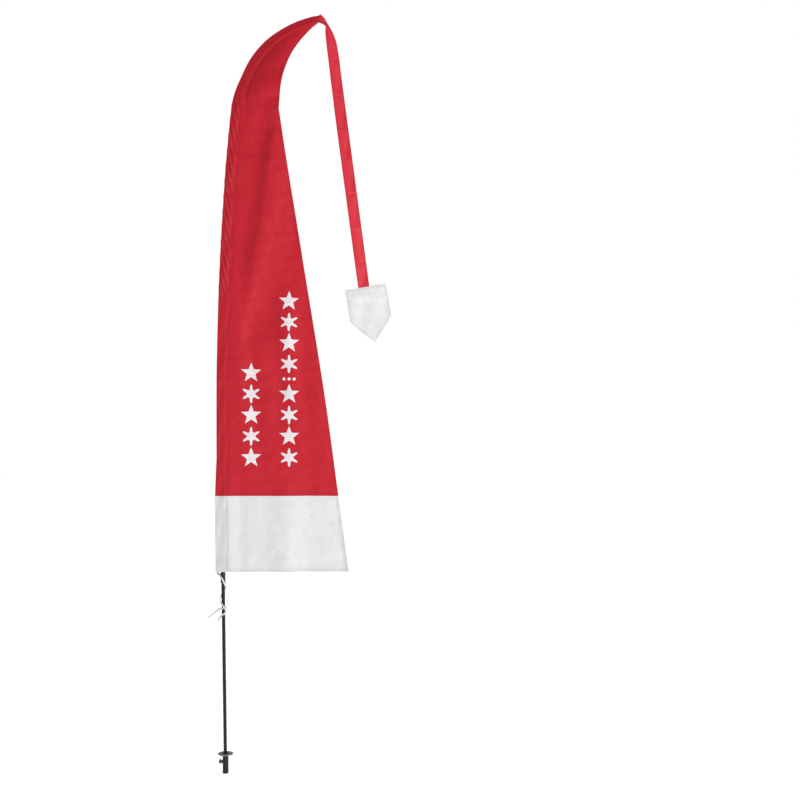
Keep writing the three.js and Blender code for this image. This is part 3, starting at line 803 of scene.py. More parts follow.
def drape(station, width):
    """How far the cloth stands back from its plane: the sum of the folds named below, which fade out towards
    the sleeve, less the way that the cloth beside the pole stands forward."""
    seam = fly_reach(station)
    span = np.maximum(fly_edge(station) - seam, 0.004)
    share = (width - seam) / span
    # A long ridge runs from low on the hoist side up to the kink, and in the arch it becomes one slope
    crest = read(station, ((1.30, 1.430, 1.500, 1.623, 1.813, 1.971, KINK_STATION, 2.6),
                           (0.14, 0.20, 0.27, 0.33, 0.53, 0.72, 1.0, 1.0)))
    off = width - (seam + crest * span)
    side = np.where(off < 0, 0.030 + 0.028 * ease(station, 2.05, 2.20), 0.066)
    height = np.interp(station, (1.39, 1.62, 2.05, 2.21, 2.33, 2.47), (0, 0.0135, 0.0160, 0.0290, 0.0230, 0))
    ridge = np.exp(-((off / side) ** 2))
    slope = np.clip(1 + off / np.maximum(crest * span, 0.004), 0, 1)
    slope = slope * (1.8 - 0.8 * slope)
    arch = in_arch(station)
    y = -height * (ridge * (1 - arch) + slope * arch)
    # A hollow and a swelling under the foot of the ridge
    y += 0.0110 * bump_at(station, 1.455, 0.085) * bump_at(width, 0.118, 0.044)
    y -= 0.0060 * bump_at(station, 1.44, 0.11) * bump_at(width, 0.215, 0.050)
    # Folds that slant across the arch, and faint ones down the lower panel
    x = width + np.interp(station, walk, walk_x)
    slant = station * np.cos(0.7) - x * np.sin(0.7)
    y += 0.0036 * np.cos(2 * np.pi * slant / 0.098 + 0.8) * bump_at(station, 2.20, 0.13) * share.clip(0, 1)
    lower = ease(station, 0.9, 1.2) * (1 - ease(station, 1.38, 1.6))
    y += 0.0016 * np.sin(2 * np.pi * (width / 0.083 + 0.9 * station)) * lower
    # Waves in the band, which hang free at its foot
    hem_swing = 1 - ease(station, HEM_STATION, 1.25)
    y += hem_swing * 0.0042 * np.sin(2 * np.pi * width / 0.26 + 0.5)
    y += hem_swing * 0.0016 * np.sin(2 * np.pi * width / 0.117)
    # Creases from storage every 231 mm, turned up and down in turn
    from_crease = np.abs(np.mod(station - CREASE_START + CREASE_STEP / 2, CREASE_STEP) - CREASE_STEP / 2)
    which = np.cos(np.pi * np.round((station - CREASE_START) / CREASE_STEP))
    y += 0.0007 * which * np.exp(-from_crease / 0.006) * (station < 2.0)
    # The sleeve's puckers as they run out into the panel, and fine ripples all over
    y += 0.0008 * puckers(station, width - seam + 0.03) * np.exp(-np.clip(width - seam, 0, 1) / 0.020)
    phase = 2 * np.pi * (width[..., None] * np.cos(ripple_way) + station[..., None] * np.sin(ripple_way))
    y += 0.00010 * np.cos(phase / ripple_length + ripple_start).sum(-1)
    return y * ease(width, seam - 0.002, seam + 0.045 - 0.033 * arch) - forward(station, width)


def hemmed(count, hem_low, hem_high):
    """Places from one edge of a cloth to the other, with each hem turned to the back: (share, shift, lift).
    A place is its share of the way from edge to edge, plus its shift; the lift is how far behind it lies."""
    back = np.array([0.06, 0.35, 0.68, 1.0])
    low = np.append(back[::-1] * hem_low, -0.4 * TURN) if hem_low else np.zeros(0)
    high = np.append(0.4 * TURN, -back * hem_high) if hem_high else np.zeros(0)
    share = np.concatenate([0 * low, np.linspace(0, 1, count), 0 * high + 1])
    shift = np.concatenate([low, np.zeros(count), high])
    behind = np.concatenate([
        np.where(low > 0, TURN, TURN / 2), np.zeros(count), np.where(high < 0, TURN, TURN / 2),
    ])
    return share, shift, behind


def cut_area(width, along):
    """The flat area of a cloth: its mean width between each two rows, times the way between them."""
    return abs(float(((width[1:] + width[:-1]) / 2 * np.diff(along)).sum()))


def add_layers_and_shade(made, amount):
    """Keeps on each point how much darker the cloth looks there: more where it lies double, and painted shade
    where the pole's shadow shows through the sleeve and over the tip pocket.
    """
    layers_and_shade = made.data.attributes.new("layers_and_shade", "FLOAT", "POINT")
    layers_and_shade.data.foreach_set("value", amount.astype(np.float32).ravel())


def thickened(made, thickness=CLOTH):
    """Gives a sheet its thickness, half to each side."""
    solid = made.modifiers.new("cloth", "SOLIDIFY")
    solid.thickness = thickness
    solid.offset = 0.0
    return made


def cloth_finish(name, colour, deep, glow, sheen):
    """Thin polyester: over-and-under threads and slubs as bump and tint, crinkles from packing, a soft sheen,
    a share of light let through, and a deeper colour where the cloth lies double and where shade is painted
    on it."""
    material, tree = blank_material(name)
    flat = shade(tree, "TexCoord")["UV"]
    weave = woven(tree, 0.0006, flat)
    warp = streaks(tree, flat, (1100.0, 30.0, 1.0))
    weft = streaks(tree, flat, (30.0, 1100.0, 1.0))
    slubs = shade(tree, "Math", {0: warp, 1: weft}, operation="ADD")["Value"]
    slubs = shade(tree, "Math", {0: slubs, 1: 0.5}, operation="MULTIPLY")["Value"]
    cloud = noise(tree, flat, 9.0, 5.0)
    # The deeper colour follows the attribute: doubled cloth, plus painted shade over the pole and on the tip
    # pocket.
    layers_and_shade = shade(tree, "Attribute", attribute_name="layers_and_shade")["Fac"]
    dyed = shade(tree, "Mix", {"Factor": layers_and_shade, 6: (*colour, 1.0), 7: (*deep, 1.0)}, data_type="RGBA")[2]
    base = tinted(tree, tinted(tree, dyed, 0.90, 1.10, slubs), 0.93, 1.07, cloud)
    rough = between(tree, slubs, 0.40, 0.58)
    drawn = {"Vector": flat, "Scale": 28.0, "Detail": 4.0, "Distortion": 0.12}
    soft = bumped(tree, shade(tree, "TexNoise", drawn)["Fac"], 0.0060)
    threads = shade(tree, "Math", {0: weave, 1: slubs}, operation="ADD")["Value"]
    fine = {"Height": threads, "Distance": 0.00008, "Strength": 0.5, "Normal": soft}
    bump = shade(tree, "Bump", fine)["Normal"]
    cloth = shade(tree, "BsdfPrincipled", {
        "Base Color": base, "Roughness": rough, "Normal": bump, "Specular IOR Level": 0.22,
        "Sheen Weight": sheen, "Sheen Roughness": 0.45, "Sheen Tint": (*deep, 1.0)})
    through = shade(tree, "BsdfTranslucent", {"Color": base, "Normal": bump})
    both_ways = shade(tree, "MixShader", {0: glow, 1: cloth["BSDF"], 2: through["BSDF"]})
    shade(tree, "OutputMaterial", {"Surface": both_ways["Shader"]})
    return material


white_weave = cloth_finish("white_weave", (0.82, 0.83, 0.82), (0.68, 0.70, 0.68), 0.28, 0.10)
red_weave = cloth_finish("red_weave", (0.575, 0.0165, 0.031), (0.36, 0.008, 0.017), 0.18, 0.10)
# The ribbon's red is a lighter copy of the panel's red: painted light, for the light that the ribbon catches
# and lets through.
ribbon_weave_painted_light = cloth_finish("ribbon_weave_painted_light", (0.660, 0.031, 0.051), (0.49, 0.017, 0.031), 0.24, 0.14)


def thread_finish(name, colour):
    """Spun sewing thread: a fine twist as bump and tint, and a dull shine."""
    material, tree = blank_material(name)
    place = shade(tree, "TexCoord")["Object"]
    twist = noise(tree, place, 2600.0)
    base = tinted(tree, colour, 0.7, 1.2, twist)
    return finished(material, tree, base, 0.7, bumped(tree, twist, 0.00008, 0.6))


red_thread = thread_finish("red_thread", (0.50, 0.018, 0.030))
pink_thread = thread_finish("pink_thread", (0.80, 0.50, 0.50))
STITCH = 0.0030
STITCH_STEP = 0.0042
THREAD = 0.00032
STITCH_RINGS = 5
STITCH_SIDES = 6


def stitches(name, rows, facing):
    """Rows of stitches. Each row's line is cut into even steps, and a step holds a spindle of thread: rings
    whose radius is a root of one less the square of the way along, on the line and facing outwards."""
    way = np.linspace(-1, 1, STITCH_RINGS)[:, None]
    angle = all_round(STITCH_SIDES)
    along = (way * STITCH / 2 + 0 * angle).ravel()
    size = THREAD * np.sqrt(np.maximum(1 - way**2, 0)) ** 0.6
    side = (size * np.cos(angle)).ravel()
    rise = (size * np.sin(angle) + 0.5 * THREAD * (1 - way**2)).ravel()
    index = np.arange(STITCH_RINGS * STITCH_SIDES).reshape(STITCH_RINGS, STITCH_SIDES)
    index = np.hstack([index, index[:, :1]])
    quads = four_corners(index).reshape(-1, 4)
    points = []
    for line in rows:
        distance = distances(line)
        at = np.arange(STITCH_STEP / 2, distance[-1], STITCH_STEP)
        centre = along_line(at, distance, line)
        slope = unit(along_line(at, distance, np.gradient(line, distance, axis=0)))
        out = np.array(facing, float)
        sideways = unit(np.cross(slope, out))
        points.append((
            centre[:, None] + slope[:, None] * along[None, :, None] + sideways[:, None] * side[None, :, None]
            + out * rise[None, :, None]
        ).reshape(-1, 3))
    points = np.concatenate(points)
    firsts = np.arange(0, len(points), STITCH_RINGS * STITCH_SIDES)[:, None, None]
    return weld(mesh_object(name, points, quads[None] + firsts))


FRONT = (0.0, -1.0, 0.0)
BACK = (0.0, 1.0, 0.0)


def sewn(name, rows_at, front, back, thread, slot, body):
    """Sewing on both faces of a cloth: the same rows for the front and for the back, each laid its own way
    behind the cloth's middle, with the thread standing out from that face."""
    made = []
    for face, facing, behind in (("front", FRONT, front), ("back", BACK, back)):
        made.append(stitches(f"{name}_{face}", rows_at(behind), facing))
        fix(made[-1], thread, slot, body)
    return made


def flag_point(station, width, behind):
    """A point of the flag's cloth, and how far behind its middle it lies."""
    return beside_pole(station, width, drape(station, width) + behind)


def level_station(station, width, amount):
    """The station where a level line from the pole meets a width, so that hem and seam hang level."""
    return station + amount * width * np.tan(np.interp(station, LEAN_STATIONS, LEANS))


def flag_cloth(name, low, high, row_count, column_count, hem_low, hem_side, level, doubling):
    """A flag panel: rows run level from the sleeve's seam to the fly edge, and columns run up the hoist.
    Each point stands on the drape, plus the lift of the hems it belongs to."""
    share_up, shift_up, lift_up = (part[:, None] for part in hemmed(row_count, hem_low, 0))
    share, shift, lift_side = (part[None, :] for part in hemmed(column_count, 0, hem_side))
    station = low + (high - low) * share_up + shift_up
    start = fly_reach(station) - SEAM_LAP
    width = start + (fly_edge(station) - start) * share + shift
    true_station = level_station(station, width, level(station))
    points = flag_point(true_station, width, lift_up + lift_side)
    flat_up = low + (high - low) * share_up - shift_up
    flat_side = start + (fly_edge(station) - start) * share - shift
    flat = joined(flat_side, flat_up)
    made = surface(name, points, flat)
    seam_strip = np.clip(1 - (width - start) / SEAM_LAP, 0, 1) > 0
    side_strip = fly_edge(station) - width < hem_side
    up_strip = (station - low < hem_low) & (0 * width == 0)
    add_layers_and_shade(made, doubling * np.minimum(1.0 * side_strip + up_strip + seam_strip, 2.0))
    cut = cut_area(flat_side[:, -1] - flat_side[:, 0], flat_up[:, 0])
    return thickened(made), cut


# ---- White band --------------------------------------------------------------------------------------
# The lowest 240 mm of the flag: white cloth, hemmed at its foot and fly edge with pink-red thread.
# Its top edge is caught under the red panel, and its hoist edge between the two layers of the sleeve.
BAND_LAP = 0.008


def band_level(station):
    """Every row of the band hangs level."""
    return 1.0 + 0 * station


band, band_cut = flag_cloth("band_cloth", HEM_STATION, SEAM_STATION + BAND_LAP, 62, 92, HEM, HEM,
                            band_level, DOUBLED)
fix(band, white_weave, "white_cloth", "banner", "flag_band")


def hem_row(inset, low, high, level, out):
    """A line of sewing beside the fly edge, the inset in from it and proud of the cloth by out."""
    station = np.linspace(low, high, 400)
    width = fly_edge(station) - inset
    return flag_point(level_station(station, width, level), width, out)


def level_row(station, from_width, to_width, out):
    """A level line of sewing at a station, from one width to another."""
    width = np.linspace(from_width, to_width, 200)
    return flag_point(level_station(station + 0 * width, width, 1.0), width, out)


def band_rows(behind):
    """Two rows up the hem of the fly edge, and two along the hem of the foot."""
    low, high = HEM_STATION + 0.003, SEAM_STATION - 0.002
    rows = [hem_row(inset, low, high, 1.0, behind) for inset in (0.002, 0.0085)]
    return rows + [level_row(HEM_STATION + up, 0.024, HEM_WIDTH - 0.002, behind) for up in (0.002, 0.0085)]


ON_FRONT = -CLOTH / 2 - 0.00008
ON_BACK = TURN + CLOTH / 2 + 0.00008
band_seams = sewn("band_sewing", band_rows, ON_FRONT, ON_BACK, pink_thread, "white_cloth", "banner")


# ---- Red panel ---------------------------------------------------------------------------------------
# The red sail from the seam at 877 mm to the tip: hemmed along the fly edge, where it comes to a soft
# kink below the arch, and lapped over the white band with a folded edge and two rows of red thread.
PANEL_HEM = 0.008
PANEL_FORWARD = CLOTH + 0.0001


def panel_level(station):
    """Rows hang level near the seam, and square to the pole from 1.15 m up."""
    return 1 - ease(station, 0.95, 1.15)


def panel_rows(behind):
    """Two rows up the hem of the fly edge, and two along the lap over the band."""
    low, high = SEAM_STATION + 0.004, POCKET_STATION - 0.012
    rows = [hem_row(inset, low, high, 0.0, behind) for inset in (0.0015, 0.0068)]
    return rows + [level_row(SEAM_STATION + up, 0.028, SEAM_WIDTH - 0.002, behind) for up in (0.0015, 0.0075)]


panel, panel_cut = flag_cloth("panel_cloth", SEAM_STATION, POCKET_STATION, 372, 84, HEM, PANEL_HEM,
                              panel_level, DOUBLED)
panel.data.transform(Matrix.Translation((0.0, -PANEL_FORWARD, 0.0)))
fix(panel, red_weave, "red_cloth", "banner", "flag_panel")
panel_seams = sewn("panel_sewing", panel_rows, ON_FRONT - PANEL_FORWARD, ON_BACK - PANEL_FORWARD,
                   red_thread, "red_cloth", "banner")


# ---- Print -------------------------------------------------------------------------------------------
# Two columns of plain ornaments are screen-printed in white ink on the front: five-pointed stars and
# twelve-pointed snow crystals in turn. The ink strikes through, and shows paler and pinker on the back.
SHORT_COLUMN = 0.081
LONG_COLUMN = 0.201
STAR_SIZE = 0.0335
CRYSTAL_SIZE = 0.0300
DOT_SIZE = 0.0051
MOTIF_LOW = 0.9975
MOTIF_STEP = 0.0675
DOTS_ROOM = 0.030
DOT_STEP = 0.016
INK_FILM = 0.00008
INK_PROUD = CLOTH / 2 + 0.00012


def star_outline(angle):
    """Five points: in each fifth of a turn, the straight side from an outer corner to an inner one."""
    fifth = np.pi / 5
    turn = np.abs(np.mod(angle + fifth, 2 * fifth) - fifth)
    inner = 0.42
    return inner * np.sin(fifth) / (inner * np.sin(fifth - turn) + np.sin(turn))


def crystal_outline(angle):
    """Six long points and six short: a hub plus sharp powers of the cosine and sine of thrice the angle."""
    return 0.28 + 0.72 * np.abs(np.cos(3 * angle)) ** 3 + 0.22 * np.abs(np.sin(3 * angle)) ** 7


def dot_outline(angle):
    """A plain round."""
    return 1 + 0 * angle


def ink_finish(name, colour):
    """Screen ink in cloth: the weave shows through the film as bump, and the film is thinner in places."""
    material, tree = blank_material(name)
    flat = shade(tree, "TexCoord")["UV"]
    weave = woven(tree, 0.0006, flat)
    cloud = noise(tree, flat, 60.0, 5.0)
    base = tinted(tree, colour, 0.93, 1.05, cloud)
    bump = bumped(tree, weave, 0.00006)
    ink = shade(tree, "BsdfPrincipled", {"Base Color": base, "Roughness": 0.6, "Normal": bump})
    through = shade(tree, "BsdfTranslucent", {"Color": base})
    film = shade(tree, "MixShader", {0: 0.15, 1: ink["BSDF"], 2: through["BSDF"]})
    shade(tree, "OutputMaterial", {"Surface": film["Shader"]})
    return material


def motif_points(station, width, outline, size, behind):
    """An ornament on the cloth: rings of its outline, from a point at the middle out to the full size."""
    ring = np.linspace(0, 1, 11)[:, None]
    angle = all_round(120)
    reach = ring * size * outline(angle)
    along = station + reach * np.cos(angle)
    across = width + reach * np.sin(angle)
    flat = np.stack([across, along], axis=-1)
    return flag_point(along, across, behind), np.concatenate([flat, flat[:, :1]], axis=1)


def printed(name, behind, facing_front):
    """All the ornaments of both columns as one film: five in the short one, and eight in the long one with
    three dots after the fourth. A column is plumb, at its width from the pole's foot."""
    parts = []
    star, crystal, dot = (star_outline, STAR_SIZE), (crystal_outline, CRYSTAL_SIZE), (dot_outline, DOT_SIZE)
    steps = [MOTIF_LOW + MOTIF_STEP * k for k in range(8)]
    short = [(steps[k], SHORT_COLUMN, (star, crystal)[k % 2]) for k in range(5)]
    long = [(steps[k] + DOTS_ROOM * (k > 3), LONG_COLUMN, (crystal, star)[k % 2]) for k in range(8)]
    dots_station = MOTIF_LOW + MOTIF_STEP * 3.5 + DOTS_ROOM / 2
    dots = [(dots_station, LONG_COLUMN + side * DOT_STEP, dot) for side in (-1, 0, 1)]
    for number, (station, width, (outline, size)) in enumerate(short + long + dots):
        from_pole = width - float(np.interp(station, walk, walk_x))
        points, flat = motif_points(station, from_pole, outline, size, behind)
        if facing_front:
            points, flat = points[:, ::-1], flat[:, ::-1]
        parts.append(weld(surface(f"{name}_{number}", points, flat, closed=(False, True)), outward=False))
    with bpy.context.temp_override(active_object=parts[0], selected_editable_objects=parts):
        bpy.ops.object.join()
    parts[0].name = name
    film = parts[0].modifiers.new("film", "SOLIDIFY")
    film.thickness = INK_FILM
    film.offset = 0.0
    return parts[0]


front_print = printed("star_print_front", -PANEL_FORWARD - INK_PROUD, True)
fix(front_print, ink_finish("white_ink", (0.86, 0.79, 0.82)), "white_cloth", "banner")
back_print = printed("star_print_back", -PANEL_FORWARD + INK_PROUD, False)
fix(back_print, ink_finish("struck_ink", (0.76, 0.30, 0.34)), "white_cloth", "banner")


# ---- Sleeve ------------------------------------------------------------------------------------------
# The hoist of the flag is folded round the pole and sewn back to itself: white beside the band, red above.
# It hangs loose on the pole, swells over each ferrule, and is puckered where it was sewn on a curve.
FLANGE = 0.00095
# Painted shade: the centre of a darker stripe down the sleeve, this far from the pole's axis towards the
# seam, on the shaded side of the pole's round.
SHADE_STRIPE_AT = 0.0035


def sleeve_cloth(name, low, high, row_count, hem_low, swell, shows):
    """A sleeve: columns run round from the seam over the front to the fold and back behind, rows run up it.
    Its depth is the drawn cloth's, plus puckers and a slow slackness. Shows is the strength of the painted
    shade of the pole."""
    share_up, shift_up, lift_up = (part[:, None] for part in hemmed(row_count, hem_low, 0))
    station = low + (high - low) * share_up + shift_up
    turn = np.linspace(0, 2 * np.pi, 65)[None, :]
    hoist, fly = hoist_reach(station), fly_reach(station)
    middle, half = (fly - hoist) / 2, (fly + hoist) / 2
    width = middle + half * np.cos(turn)
    near_fold = bump_at(width, -hoist, 0.010)
    width = width - 0.0009 * puckers(station, 0.0) * near_fold
    from_fold = width + hoist
    depth = half_depth(station, width)
    depth = depth + 0.0007 * np.sin(np.abs(turn - np.pi)) * (1 + np.sin(station * 41 + 3 * turn))
    gathers = 0.0034 * puckers(station, from_fold) * bump_at(from_fold, 0.014, 0.012)
    flange = FLANGE * ease(width, fly - SEAM_LAP - 0.004, fly - SEAM_LAP + 0.001)
    front = turn < np.pi
    ring = np.maximum(depth * np.where(front, 1 - in_arch(station), 1.0), flange) + gathers
    ring = np.where(np.abs(turn - np.pi) < 1e-9, 0.0, ring * np.sign(turn - np.pi))
    out = ring * (1 + swell) + np.sign(ring) * (0.0004 * (swell > 0) - lift_up)
    out = out - (CLOTH / 2) * ease(width, fly - 0.012, fly - 0.006)
    out = out - forward(station, width) * np.where(front, 1.0, ease(np.abs(width), 0.005, 0.0125))
    points = beside_pole(station + 0 * turn, width, out)
    around = np.cumsum(np.linalg.norm(np.diff(points, axis=1, prepend=points[:, :1]), axis=2), axis=1)
    flat_up = low + (high - low) * share_up - shift_up + 0 * turn
    made = surface(name, points, np.stack([around, flat_up], axis=-1))
    # Painted shade: a darker stripe down the sleeve where the pole's shadow shows through, scaled by shows
    # and fading out in the arch.
    radius = inside_radius(station)
    shade_stripe = ease(radius * 0.75 - np.abs(width - SHADE_STRIPE_AT), -0.0030, 0.0030)
    painted_pole_shade = shows * shade_stripe * (1 - ease(station, 2.0, 2.2))
    add_layers_and_shade(made, painted_pole_shade + DOUBLED * ((station - low < hem_low) + 1.0 * (fly - width < SEAM_LAP)))
    cut = cut_area(around[:, -1], flat_up[:, 0])
    return thickened(made), cut


def flange_rows(low, high, behind):
    """Two rows of sewing up the sleeve's flange."""
    station = np.linspace(low, high, 500)
    widths = [fly_reach(station) - inset for inset in (0.0014, 0.0055)]
    return [beside_pole(station, width, behind - forward(station, width)) for width in widths]


def white_sleeve_rows(behind):
    """The sewing of the white sleeve's flange."""
    return flange_rows(HEM_STATION + 0.003, SEAM_STATION, behind)


def red_sleeve_rows(behind):
    """The sewing of the red sleeve's flange."""
    return flange_rows(SEAM_STATION + 0.003, POCKET_STATION, behind)


FLANGE_PROUD = FLANGE + CLOTH / 2 + 0.00010
ON_FLANGE = (-FLANGE_PROUD - CLOTH / 2, FLANGE_PROUD - CLOTH / 2)
# The last number of each sleeve is the strength of its painted pole shade.
white_sleeve, white_sleeve_cut = sleeve_cloth("sleeve_white_cloth", HEM_STATION, SEAM_STATION + 0.006, 70,
                                              HEM, 0, 0.45)
fix(white_sleeve, white_weave, "white_cloth", "banner", "sleeve_white")
white_sleeve_seams = sewn("sleeve_white_cloth_sewing", white_sleeve_rows, *ON_FLANGE,
                          pink_thread, "white_cloth", "banner")

red_sleeve, red_sleeve_cut = sleeve_cloth("sleeve_red_cloth", SEAM_STATION, POCKET_STATION + 0.001, 400,
                                          HEM, 0.03, 0.30)
fix(red_sleeve, red_weave, "red_cloth", "banner", "sleeve_red")
red_sleeve_seams = sewn("sleeve_red_cloth_sewing", red_sleeve_rows, *ON_FLANGE,
                        red_thread, "red_cloth", "banner")


# ---- Tip pocket --------------------------------------------------------------------------------------
# The sleeve's end is sewn shut over the whip's cap, as a flattened envelope of red cloth.
# The tail hangs from it.
POCKET_LENGTH = 0.022
POCKET_CLOTH = 0.0004
POCKET_END = POCKET_STATION + 0.0003 + POCKET_LENGTH


def pocket_points():
    """A tube that closes: its depth falls from the sleeve's to a sewn edge as a root of the way left."""
    share = np.concatenate([np.linspace(-0.18, 1, 34), [1.0]])[:, None]
    turn = all_round(60)
    station = POCKET_STATION + share * (POCKET_END - POCKET_STATION)
    closing = np.sqrt(np.clip(1 - share, 0, 1)) ** 0.9
    hoist = np.interp(share, (0.0, 1.0), (-0.0130, -0.0115))
    fly = np.interp(share, (-0.18, 0.1, 0.6, 1.0), (0.0180, 0.0150, 0.0098, 0.0062))
    depth = (0.0052 * closing + 0.0007) * (1 + 0.05 * np.cos(3 * turn + 9 * share))
    depth[-1] = 0.0
    width = (fly + hoist) / 2 + (fly - hoist) / 2 * np.cos(turn)
    return beside_pole(station + 0 * turn, width, depth * np.sin(turn))


def mapped(points, across):
    """A plain map for a small piece: the way round it, and the way up it."""
    rows, columns = points.shape[:2]
    up = np.linspace(0, across, rows)[:, None]
    side = np.linspace(0, across, columns + 1)[None, :]
    return joined(side, up)


pocket_shell = pocket_points()
pocket = weld(surface("pocket_cloth", pocket_shell, mapped(pocket_shell, 0.05), closed=(False, True)))
# Painted shade: the whole pocket is given the deeper red, for the shade at the tip.
add_layers_and_shade(pocket, 0.35 + np.zeros(len(pocket.data.vertices)))
fix(thickened(pocket, POCKET_CLOTH), red_weave, "red_cloth", "banner", "tip_pocket")


# ---- Tail --------------------------------------------------------------------------------------------
# A red streamer hangs from the tip: a short folded head, gathered where it is sewn to the pocket, then a
# ribbon 34.5 mm wide and 835 mm long, hemmed down both sides, which ends sewn to the pennant.
TAIL_TILT = np.radians(7.6)
HANG = beside_pole(POCKET_END + 0.003, -0.008, 0.0)
TAIL_LENGTH = 0.866
HEAD_LENGTH = 0.030
HEAD_FORWARD = 0.0012
RIBBON_LEFT = ((-0.006, 0.006, 0.0160, 0.0300, 0.050, 0.069, 0.140, 0.3, 0.6, 0.9),
               (-0.0010, -0.0115, -0.0140, 0.0085, 0.0090, 0.0082, 0.0070, 0.0050, 0.0050, 0.0050))
RIBBON_RIGHT = ((-0.006, 0.0, 0.006, 0.0264, 0.052, 0.081, 0.115, 0.20, 0.5, 0.9),
                (0.0005, 0.0060, 0.0105, 0.0195, 0.0305, 0.0376, 0.0396, 0.0395, 0.0395, 0.0395))
RIBBON_HEM = 0.0045
RIBBON_CREASE = 0.108
RIBBON_CLOTH = 0.0004
RIBBON_ROW = 0.0034


def hanging(start, tilt, down, across, behind):
    """A point down along a strip tilted in the flag's plane and across it, from where the strip hangs."""
    x = start[0] + across * np.cos(tilt) + down * np.sin(tilt)
    z = start[2] + across * np.sin(tilt) - down * np.cos(tilt)
    return joined(x, behind, z)


def tail_spot(down, across, behind):
    """A point of the tail, in its own tilt."""
    return hanging(HANG, TAIL_TILT, down, across, behind)


def ribbon_lie(down, across):
    """How the ribbon lies: turned to face the fly side, bellied between its hems, swaying slowly down its
    length, and creased across every 108 mm where it was folded for packing."""
    middle = (read(down, RIBBON_LEFT) + read(down, RIBBON_RIGHT)) / 2
    off = across - middle
    ending = ease(down, 0.78, TAIL_LENGTH)
    free = ease(down, 0.03, 0.16) * (1 - ending)
    turned_by = (0.60 + 0.08 * np.sin(down * 9.0 + 0.4)) * ease(down, 0.0, 0.03) * (1 - 0.62 * ending)
    lie = off * turned_by
    lie = lie + 0.0045 * np.sin(down * 7.3) * free + 0.0016 * np.cos(off / 0.0055) * free
    from_crease = np.abs(np.mod(down - 0.085, RIBBON_CREASE) - RIBBON_CREASE / 2)
    which = np.cos(np.pi * np.round((down - 0.139) / RIBBON_CREASE))
    lie = lie + 0.0015 * which * np.exp(-from_crease / 0.0045)
    return lie + 0.0009 * np.sin(down * 61 + off * 160) * ease(down, 0.0, 0.05)


def ribbon_cloth(name, low, high, row_count, column_count):
    """The streamer's cloth from one way down it to another, in rows that are hemmed at both ends."""
    down = np.linspace(low, high, row_count)[::-1, None]
    hems = hemmed(column_count, RIBBON_HEM, RIBBON_HEM)
    share_side, shift_side, lift_side = (part[None, :] for part in hems)
    left, right = read(down, RIBBON_LEFT), read(down, RIBBON_RIGHT)
    hem_room = np.minimum(1.0, (right - left) / 0.030)
    across = left + (right - left) * share_side + shift_side * hem_room
    points = tail_spot(down + 0 * across, across, ribbon_lie(down, across) + lift_side)
    flat_across = left + (right - left) * share_side - shift_side * hem_room
    made = surface(name, points, np.stack([flat_across, -down + 0 * across], axis=-1))
    doubled = (across - left < RIBBON_HEM) | (right - across < RIBBON_HEM)
    add_layers_and_shade(made, 0.30 * doubled)
    return thickened(made, RIBBON_CLOTH)


head = ribbon_cloth("tail_head_cloth", -0.006, HEAD_LENGTH + 0.003, 26, 14)
head.data.transform(Matrix.Translation((0.0, -HEAD_FORWARD, 0.0)))
fix(head, ribbon_weave_painted_light, "red_cloth", None, "tail_head")
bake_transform(head)

ribbon = ribbon_cloth("tail_ribbon_cloth", 0.024, TAIL_LENGTH - 0.0015, 300, 22)
fix(ribbon, ribbon_weave_painted_light, "red_cloth", None, "tail_ribbon")
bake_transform(ribbon)


def ribbon_rows(behind):
    """A row of sewing down each hem of the ribbon."""
    down = np.linspace(0.050, TAIL_LENGTH - 0.004, 420)
    edges = (read(down, RIBBON_LEFT) + RIBBON_ROW, read(down, RIBBON_RIGHT) - RIBBON_ROW)
    return [tail_spot(down, edge, ribbon_lie(down, edge) + behind) for edge in edges]


RIBBON_PROUD = RIBBON_CLOTH / 2 + 0.00008
ribbon_sewing = sewn("ribbon_sewing", ribbon_rows, -RIBBON_PROUD, TURN + RIBBON_PROUD,
                     red_thread, "red_cloth", None)
for ribbon_seam in ribbon_sewing:
    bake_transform(ribbon_seam)


# ---- Pennant -----------------------------------------------------------------------------------------
# A five-sided drop of white cloth at the end of the ribbon, hemmed all round. The ribbon's end runs
# 26 mm down behind it, and is sewn on with a small rectangle that shows on the front in faint pink.
PENNANT_TILT = np.radians(9.7)
PENNANT_MIDDLE = tail_spot(TAIL_LENGTH + 0.0008, 0.02225, 0.0)
PENNANT_WIDTH = 0.131
PENNANT_SIDE = 0.104
PENNANT_HEIGHT = 0.177
PENNANT_LEFT = -0.06025
PENNANT_CENTRE = PENNANT_LEFT + PENNANT_WIDTH / 2
PENNANT_TOP_HEM = 0.008
PENNANT_SIDE_HEM = 0.007
PENNANT_TOP_ROW = 0.0065
PENNANT_SIDE_ROW = 0.0055
RIBBON_DIP = 0.00143
TAB_LENGTH = 0.026
TAB_HALF = 0.01725
TAB_INSET = 0.003
TAB_SEWING_BACK = 0.0026


def pennant_spot(down, across, behind):
    """A point of the pennant, down and across from the middle of the ribbon's end, in its own tilt."""
    return hanging(PENNANT_MIDDLE, PENNANT_TILT, down, across, behind)


def pennant_lie(down, across):
    """Nearly flat: one shallow belly down the middle, a curl at the point and faint ripples."""
    belly = 0.0035 * np.cos((across - PENNANT_CENTRE) / 0.048) * ease(down, 0.02, 0.12)
    fold = -0.0030 * bump_at(across - 0.25 * down, 0.004, 0.020) * ease(down, 0.03, 0.10)
    ripples = 0.0006 * np.sin(across * 95 + down * 40) + 0.0004 * np.sin(down * 150 - across * 33)
    return belly + fold + ripples * ease(down, 0.0, 0.03)


def pennant_side(down):
    """Half the pennant's width: full to the shoulders, then in a straight line to the point."""
    return PENNANT_WIDTH / 2 * np.clip((PENNANT_HEIGHT - down) / (PENNANT_HEIGHT - PENNANT_SIDE), 0.0, 1.0)


